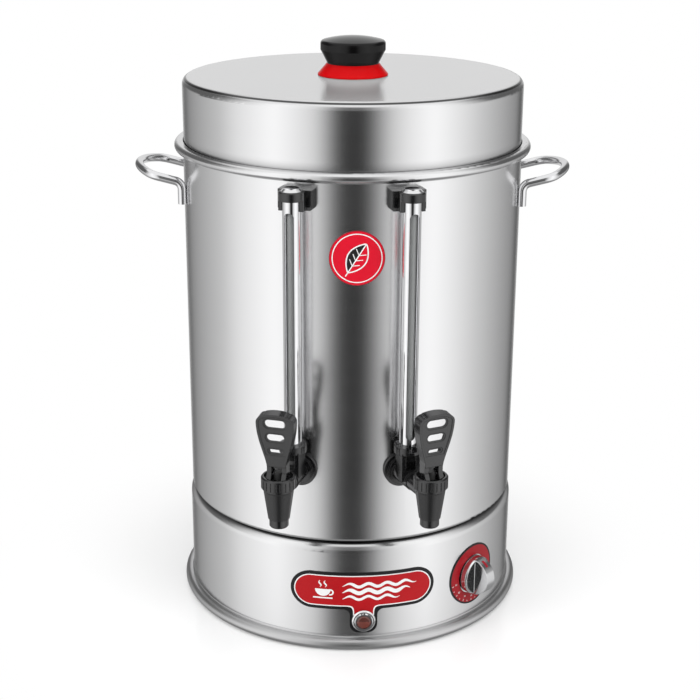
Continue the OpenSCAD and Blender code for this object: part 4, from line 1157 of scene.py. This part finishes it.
@dataclass
class Badge:
    """The round red badge on the tank, with a generic print of a tea leaf in a ring."""

    wall: float = 160.0 * MM
    thick: float = 0.6 * MM
    turn: float = 1.7
    middle: float = 380.0 * MM
    radius: float = 24.4 * MM
    edge: float = 0.5 * MM
    lean: float = -32.0
    leaf_length: float = 30 * MM
    leaf_half: float = 8.6 * MM
    vein_reach: float = 5.2 * MM
    vein_rise: float = 0.75
    veins: tuple[float, ...] = (-8.0 * MM, -2.5 * MM, 3.0 * MM)
    stalk: tuple[float, float] = (-19 * MM, 14 * MM)
    ring: float = 21.6 * MM
    pale_lift: float = 0.2 * MM

    def _leaning(self, across: np.ndarray, up: np.ndarray) -> tuple[np.ndarray, np.ndarray]:
        """Leans flat points to one side by a turn about the middle."""
        cos, sin = math.cos(math.radians(self.lean)), math.sin(math.radians(self.lean))
        return across * cos - up * sin, across * sin + up * cos

    def build(self, shop: Workshop) -> None:
        """Prints a leaf whose half width is a sine of its length: one half black, edge and veins pale.

        Args:
            shop: the frame's nodes and the finishes made so far.
        """
        share = np.linspace(0.0, 1.0, 41)
        spine = (share - 0.5) * self.leaf_length
        width = self.leaf_half * np.sin(np.pi * share) ** 0.8
        dark = Artwork(CurvedSheet(self.wall + self.thick, self.turn, self.middle))
        part = np.linspace(1.0, 0.0, 6)[None, :]
        dark.patch(*self._leaning(-width[:, None] * part, np.broadcast_to(spine[:, None], (41, 6))))
        dark.finish("badge_dark_print", shop.inks[Ink.BLACK], "urn", "red_badge")

        pale = Artwork(CurvedSheet(self.wall + self.thick, self.turn, self.middle, self.pale_lift))
        reach = np.linspace(0.0, self.vein_reach, 9)
        for side in (-1.0, 1.0):
            pale.ribbon(*self._leaning(side * width, spine), 0.55 * MM)
            for start in self.veins:
                pale.ribbon(*self._leaning(side * reach, start + reach * self.vein_rise), 0.35 * MM)
        pale.ribbon(*self._leaning(np.zeros(41), np.linspace(*self.stalk, 41)), 0.5 * MM)
        turn = np.radians(np.linspace(0, 360, 97))
        pale.ribbon(self.ring * np.cos(turn), self.ring * np.sin(turn), 0.45 * MM)
        pale.finish("badge_pale_print", shop.inks[Ink.WHITE], "urn", "red_badge")

    def dress(self, shop: Workshop) -> None:
        """Puts the bright printed red on the badge, darker at its cut edge.

        Args:
            shop: the frame's nodes and the finishes made so far.
        """
        bands = ((self.radius - self.edge, (0.25, 0.01, 0.02)),)
        face = PrintedRing("printed_badge", (0.66, 0.004, 0.022), bands, self.turn, self.middle)
        shop.dress(face, "round_badge")


@dataclass
class Thermostat:
    """The ring dial on the base and the bright knob that turns in it."""

    wall: float = 161.8 * MM
    thick: float = 0.6 * MM
    turn: float = 47.0
    middle: float = 52.5 * MM
    outer: float = 30.8 * MM
    edge: float = 1.7 * MM
    tick_in: tuple[float, float] = (26.6 * MM, 27.2 * MM)
    tick_out: float = 28.4 * MM
    tick_half: float = 0.3 * MM
    number_at: float = 23.6 * MM
    number_height: float = 1.8 * MM
    first: float = 192.0
    last: float = 292.0
    numbers: tuple[str, ...] = ("30", "50", "70", "90", "110")
    knob_out: float = 23.0 * MM
    arch: float = 18.2 * MM
    index_half: float = 1.5 * MM
    index_lift: float = 0.1 * MM
    index_span: tuple[float, float] = (44.0, 68.0)

    def _marks(self, shop: Workshop) -> None:
        """Prints long and short ticks in turn at even angles, and plain numbers inside them.

        Args:
            shop: the frame's nodes and the finishes made so far.
        """
        art = Artwork(CurvedSheet(self.wall + self.thick, self.turn, self.middle))
        for k, angle in enumerate(np.radians(np.linspace(self.first, self.last, 9))):
            far = np.linspace(self.tick_in[k % 2], self.tick_out, 4)
            art.ribbon(far * math.cos(angle), far * math.sin(angle), self.tick_half)
        angles = np.radians(np.linspace(self.first, self.last, len(self.numbers)))
        for text, angle in zip(self.numbers, angles):
            across, up = self.number_at * math.cos(angle), self.number_at * math.sin(angle)
            art.digits(text, across, up, self.number_height)
        art.finish("dial_print", shop.inks[Ink.WHITE], "urn", "red_dial")

    def _index(self, shop: Workshop) -> None:
        """Paints a dash on the grip's arched edge: an arc of the arch's circle, given a width.

        Args:
            shop: the frame's nodes and the finishes made so far.
        """
        angle = np.radians(np.linspace(*self.index_span, 13))[:, None]
        width = np.linspace(self.index_half, -self.index_half, 3)[None, :]
        reach = self.arch + self.index_lift
        depth = self.wall + self.knob_out - self.arch + reach * np.cos(angle) + 0 * width
        up = self.middle + reach * np.sin(angle) + 0 * width
        points = set_out(width + 0 * angle, depth, up, self.turn)
        piece = make_piece("knob_index", points, grid_faces(13, 3).tolist())
        piece.data.materials.append(shop.inks[Ink.RED])
        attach(piece, "thermostat")
        LOG.info("knob_index: on thermostat")

    def build(self, shop: Workshop) -> None:
        """Prints the dial and paints the knob's index."""
        self._marks(shop)
        self._index(shop)

    def dress(self, shop: Workshop) -> None:
        """Puts printed rings on the dial and chrome on the knob.

        Args:
            shop: the frame's nodes and the finishes made so far.
        """
        bands = ((self.outer - self.edge, BLACK_INK),)
        face = PrintedRing("printed_dial", (0.31, 0.006, 0.012), bands, self.turn, self.middle)
        shop.dress(face, "dial_plate")
        shop.dress(KNOB_CHROME, "thermostat_knob")


@dataclass
class TapAndGauge:
    """One tap with its lever, and the gauge that stands on it."""

    side: Side
    glass: ClearGlass = ClearGlass("gauge_glass", (0.4, 0.41, 0.41), 0.5)

    def dress(self, shop: Workshop) -> None:
        """Puts satin black on the plastic pieces, chrome on the guard and glass on the tube.

        Args:
            shop: the frame's nodes and the finishes made so far.
        """
        wear = ((TAP_BLACK, ("tap_body", "tap_bonnet", "tap_lever", "gauge_block", "gauge_cap")),
                (CHROME, ("gauge_guard", "tap_spring")), (ZINC, ("lever_pin",)),
                (PLAIN_BLACK, ("tap_stem",)), (SILICONE, ("tap_seat",)), (self.glass, ("gauge_glass",)))
        for kind, names in wear:
            shop.dress(kind, *(f"{self.side.value}_{name}" for name in names))


@dataclass
class Fixings:
    """Nuts, gaskets, plugs and screws that both taps share."""

    def dress(self, shop: Workshop) -> None:
        """Puts a finish on each kind of fixing.

        Args:
            shop: the frame's nodes and the finishes made so far.
        """
        shop.dress(ZINC, "tap_nuts", "gauge_screws")
        shop.dress(SILICONE, "tap_gaskets")
        shop.dress(RUBBER, "gauge_seals")
        shop.dress(CHROME, "gauge_plugs")


@dataclass
class Studio:
    """Floor, soft light and camera of the photograph.

    A ball of reflectors stands round the urn, seen only in what shines. Its greys follow the direction:
    dark in front between two large soft panels, and grey behind. Other greys take over above the
    horizon, and plain ones towards the top and the bottom.
    """

    lens: float = 76.45
    sensor: float = 36.0
    camera_at: tuple[float, float, float] = (-1.2 * MM, -1399.2 * MM, 720.8 * MM)
    pitch: float = 0.33002
    roll: float = -0.006
    orbit: float = 0.1
    fill: float = 0.7
    floor_half: float = 9.0
    floor_grey: float = 0.86
    floor_fade: tuple[float, float] = (0.18, 0.38)
    floor_white: float = 0.1
    lamps_aim: tuple[float, float, float] = (0.0, 0.0, 0.25)
    shell_radius: float = 2.6
    shell_middle: float = 0.304
    raised_from: tuple[float, float] = (0.0, 0.12)
    above_from: tuple[float, float] = (0.6, 0.8)
    overhead: float = 1.0
    under: float = 0.3
    under_from: tuple[float, float] = (-0.5, -0.75)
    level: tuple[tuple[float, float], ...] = (
        (-180, 0.72), (-160, 0.6), (-154, 0.2), (-149, 0.14), (-143, 0.22), (-139, 0.31), (-121, 0.46),
        (-96, 0.66), (-80, 0.95), (-51, 1.25), (-34, 1.02), (-24, 0.86), (-17, 0.5), (-11, 0.15), (-6, 0.03),
        (7, 0.02), (12, 0.13), (18, 0.42), (25, 0.76), (36, 1.02), (53, 1.25), (76, 0.95), (90, 0.75),
        (104, 0.6), (121, 0.44), (139, 0.3), (143, 0.2), (149, 0.07), (154, 0.15), (160, 0.6), (180, 0.72))
    raised: tuple[tuple[float, float], ...] = (
        (-180, 0.8), (-162, 0.8), (-152, 0.2), (-140, 0.12), (-100, 0.12), (-85, 0.5), (-70, 0.95),
        (-51, 1.25), (-34, 1.05), (-24, 0.9), (-17, 0.6), (-11, 0.3), (-6, 0.15), (7, 0.15), (12, 0.3),
        (18, 0.55), (25, 0.8), (36, 1.05), (53, 1.25), (72, 0.95), (87, 0.5), (100, 0.12), (140, 0.12),
        (152, 0.2), (162, 0.8), (180, 0.8))

    def camera(self) -> None:
        """Sets the camera: it looks along +Y, pitched down, rolled a little and turned about z."""
        ahead = Vector((0, math.cos(self.pitch), -math.sin(self.pitch)))
        above = Vector((0, math.sin(self.pitch), math.cos(self.pitch)))
        right = Vector((1, 0, 0))
        side = math.cos(self.roll) * right - math.sin(self.roll) * above
        top = math.sin(self.roll) * right + math.cos(self.roll) * above
        facing = Matrix((side, top, -ahead)).transposed().to_4x4()
        data = bpy.data.cameras.new("camera")
        data.lens, data.sensor_width = self.lens, self.sensor
        camera = bpy.data.objects.new("camera", data)
        turned = Matrix.Rotation(math.radians(self.orbit), 4, "Z")
        camera.matrix_world = turned @ Matrix.Translation(self.camera_at) @ facing
        bpy.context.scene.collection.objects.link(camera)
        bpy.context.scene.camera = camera

    def _ramp(self, graph: Graph, turn: bpy.types.NodeSocket,
              stops: tuple[tuple[float, float], ...]) -> bpy.types.NodeSocket:
        """Gives a grey that follows the direction.

        Args:
            graph: the reflectors' graph.
            turn: the direction, 0 to 1 from behind round by the left.
            stops: directions in degrees and their greys.

        Returns:
            The grey.
        """
        ramp = graph.add("ShaderNodeValToRGB")
        graph.join(turn, ramp.inputs[0])
        elements = ramp.color_ramp.elements
        elements.remove(elements[1])
        for k, (degrees, value) in enumerate(stops):
            place = (degrees + 180) / 360
            stop = elements[0] if k == 0 else elements.new(place)
            stop.position, stop.color = place, (value, value, value, 1.0)
        return ramp.outputs[0]

    def _greys(self) -> bpy.types.Material:
        """Makes the reflectors' glow: greys by direction, and by height on the ball.

        Returns:
            The glowing material.
        """
        material = bpy.data.materials.new("reflector_cards")
        graph = cleared(material)
        x, y, z = graph.place()
        turn = graph.spread(graph.heading(x, y), 0.5, 0.5 + 1 / (2 * math.pi))
        high = graph.maths("DIVIDE", graph.maths("SUBTRACT", z, self.shell_middle), self.shell_radius)
        colour = self._ramp(graph, turn, self.level)
        colour = graph.blend(graph.ease(high, *self.under_from), colour, (self.under,) * 3)
        raised = self._ramp(graph, turn, self.raised)
        colour = graph.blend(graph.ease(high, *self.raised_from), colour, raised)
        colour = graph.blend(graph.ease(high, *self.above_from), colour, (self.overhead,) * 3)
        glow = graph.add("ShaderNodeEmission")
        graph.join(colour, glow.inputs["Color"])
        graph.join(glow.outputs[0], graph.add("ShaderNodeOutputMaterial").inputs[0])
        return material

    def reflectors(self) -> None:
        """Stands the reflectors round the urn, as a ball's surface that only shiny surfaces see."""
        angle = np.radians(np.linspace(-180, 180, 121))[:, None]
        rise = np.radians(np.linspace(-88, 88, 61))[None, :]
        points = np.stack([np.sin(angle) * np.cos(rise), -np.cos(angle) * np.cos(rise),
                           np.sin(rise) + 0 * angle], axis=-1)
        points = points.reshape(-1, 3) * self.shell_radius + np.array([0.0, 0.0, self.shell_middle])
        ball = make_piece("reflector_cards", points, grid_faces(121, 61).tolist())
        ball.data.materials.append(self._greys())
        ball.visible_camera = ball.visible_diffuse = ball.visible_shadow = False

    def world(self) -> None:
        """Makes the world white to the camera and in what shines, and a soft fill for the rest."""
        world = bpy.data.worlds.new("studio")
        bpy.context.scene.world = world
        graph = cleared(world)
        sky = graph.add("ShaderNodeBackground")
        sky.inputs["Color"].default_value = (1.0, 1.0, 1.0, 1.0)
        graph.join(graph.spread(graph.seen(), self.fill, 1.0), sky.inputs["Strength"])
        graph.join(sky.outputs[0], graph.add("ShaderNodeOutputWorld").inputs[0])

    def floor(self) -> None:
        """Lays a plain pale floor with a faint gloss, which runs out into white away from the urn."""
        side = np.linspace(-self.floor_half, self.floor_half, 3)
        points = np.stack([np.repeat(side, 3), np.tile(side, 3), np.zeros(9)], axis=1)
        floor = make_piece("floor", points, grid_faces(3, 3).tolist())
        surface = Surface("pale_floor")
        surface.set(Base_Color=(self.floor_grey,) * 3, Roughness=0.12, Specular_IOR_Level=0.35)
        graph = surface.graph
        x, y, _ = graph.place()
        share = graph.spread(graph.ease(graph.length(x, y), *self.floor_fade), self.floor_white, 1.0)
        white = graph.add("ShaderNodeEmission")
        mixed = graph.add("ShaderNodeMixShader")
        graph.join(graph.maths("MULTIPLY", share, graph.seen()), mixed.inputs[0])
        graph.join(surface.shader.outputs[0], mixed.inputs[1])
        graph.join(white.outputs[0], mixed.inputs[2])
        graph.join(mixed.outputs[0], surface.output.inputs[0])
        floor.data.materials.append(surface.material)
        floor.visible_glossy = False

    def lamps(self) -> None:
        """Hangs two large soft lamps at the sides and one above."""
        for name, at, size, power in (("left_lamp", (-1.7, -1.3, 1.5), 1.4, 22.0),
                                      ("right_lamp", (1.7, -1.3, 1.5), 1.4, 22.0),
                                      ("top_lamp", (0.0, -0.3, 2.3), 2.0, 26.0)):
            data = bpy.data.lights.new(name, "AREA")
            data.shape, data.size, data.energy = "SQUARE", size, power
            lamp = bpy.data.objects.new(name, data)
            ahead = Vector(self.lamps_aim) - Vector(at)
            lamp.matrix_world = Matrix.Translation(at) @ ahead.to_track_quat("-Z", "Y").to_matrix().to_4x4()
            lamp.visible_glossy = False
            bpy.context.scene.collection.objects.link(lamp)

    def build(self) -> None:
        """Sets up the whole studio."""
        bpy.context.scene.view_settings.view_transform = "Standard"
        self.camera()
        self.world()
        self.floor()
        self.lamps()
        self.reflectors()


def main() -> None:
    """Builds the urn's looks in order."""
    logging.basicConfig(level=logging.INFO, format="%(name)s: %(message)s")
    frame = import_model()
    shop = Workshop(frame["nodes"])
    plate, badge, thermostat = NamePlate(), Badge(), Thermostat()
    taps = TapAndGauge(Side.LEFT), TapAndGauge(Side.RIGHT)
    for part in (Tank(), Lid(), Base(), plate, badge, thermostat, *taps, Fixings()):
        part.dress(shop)
    for part in (plate, badge, thermostat):
        part.build(shop)
    bare = sorted(set(frame["nodes"]) - shop.dressed)
    if bare:
        raise SystemExit(f"nodes without a finish: {bare}")
    Studio().build()


if __name__ == "__main__":
    main()
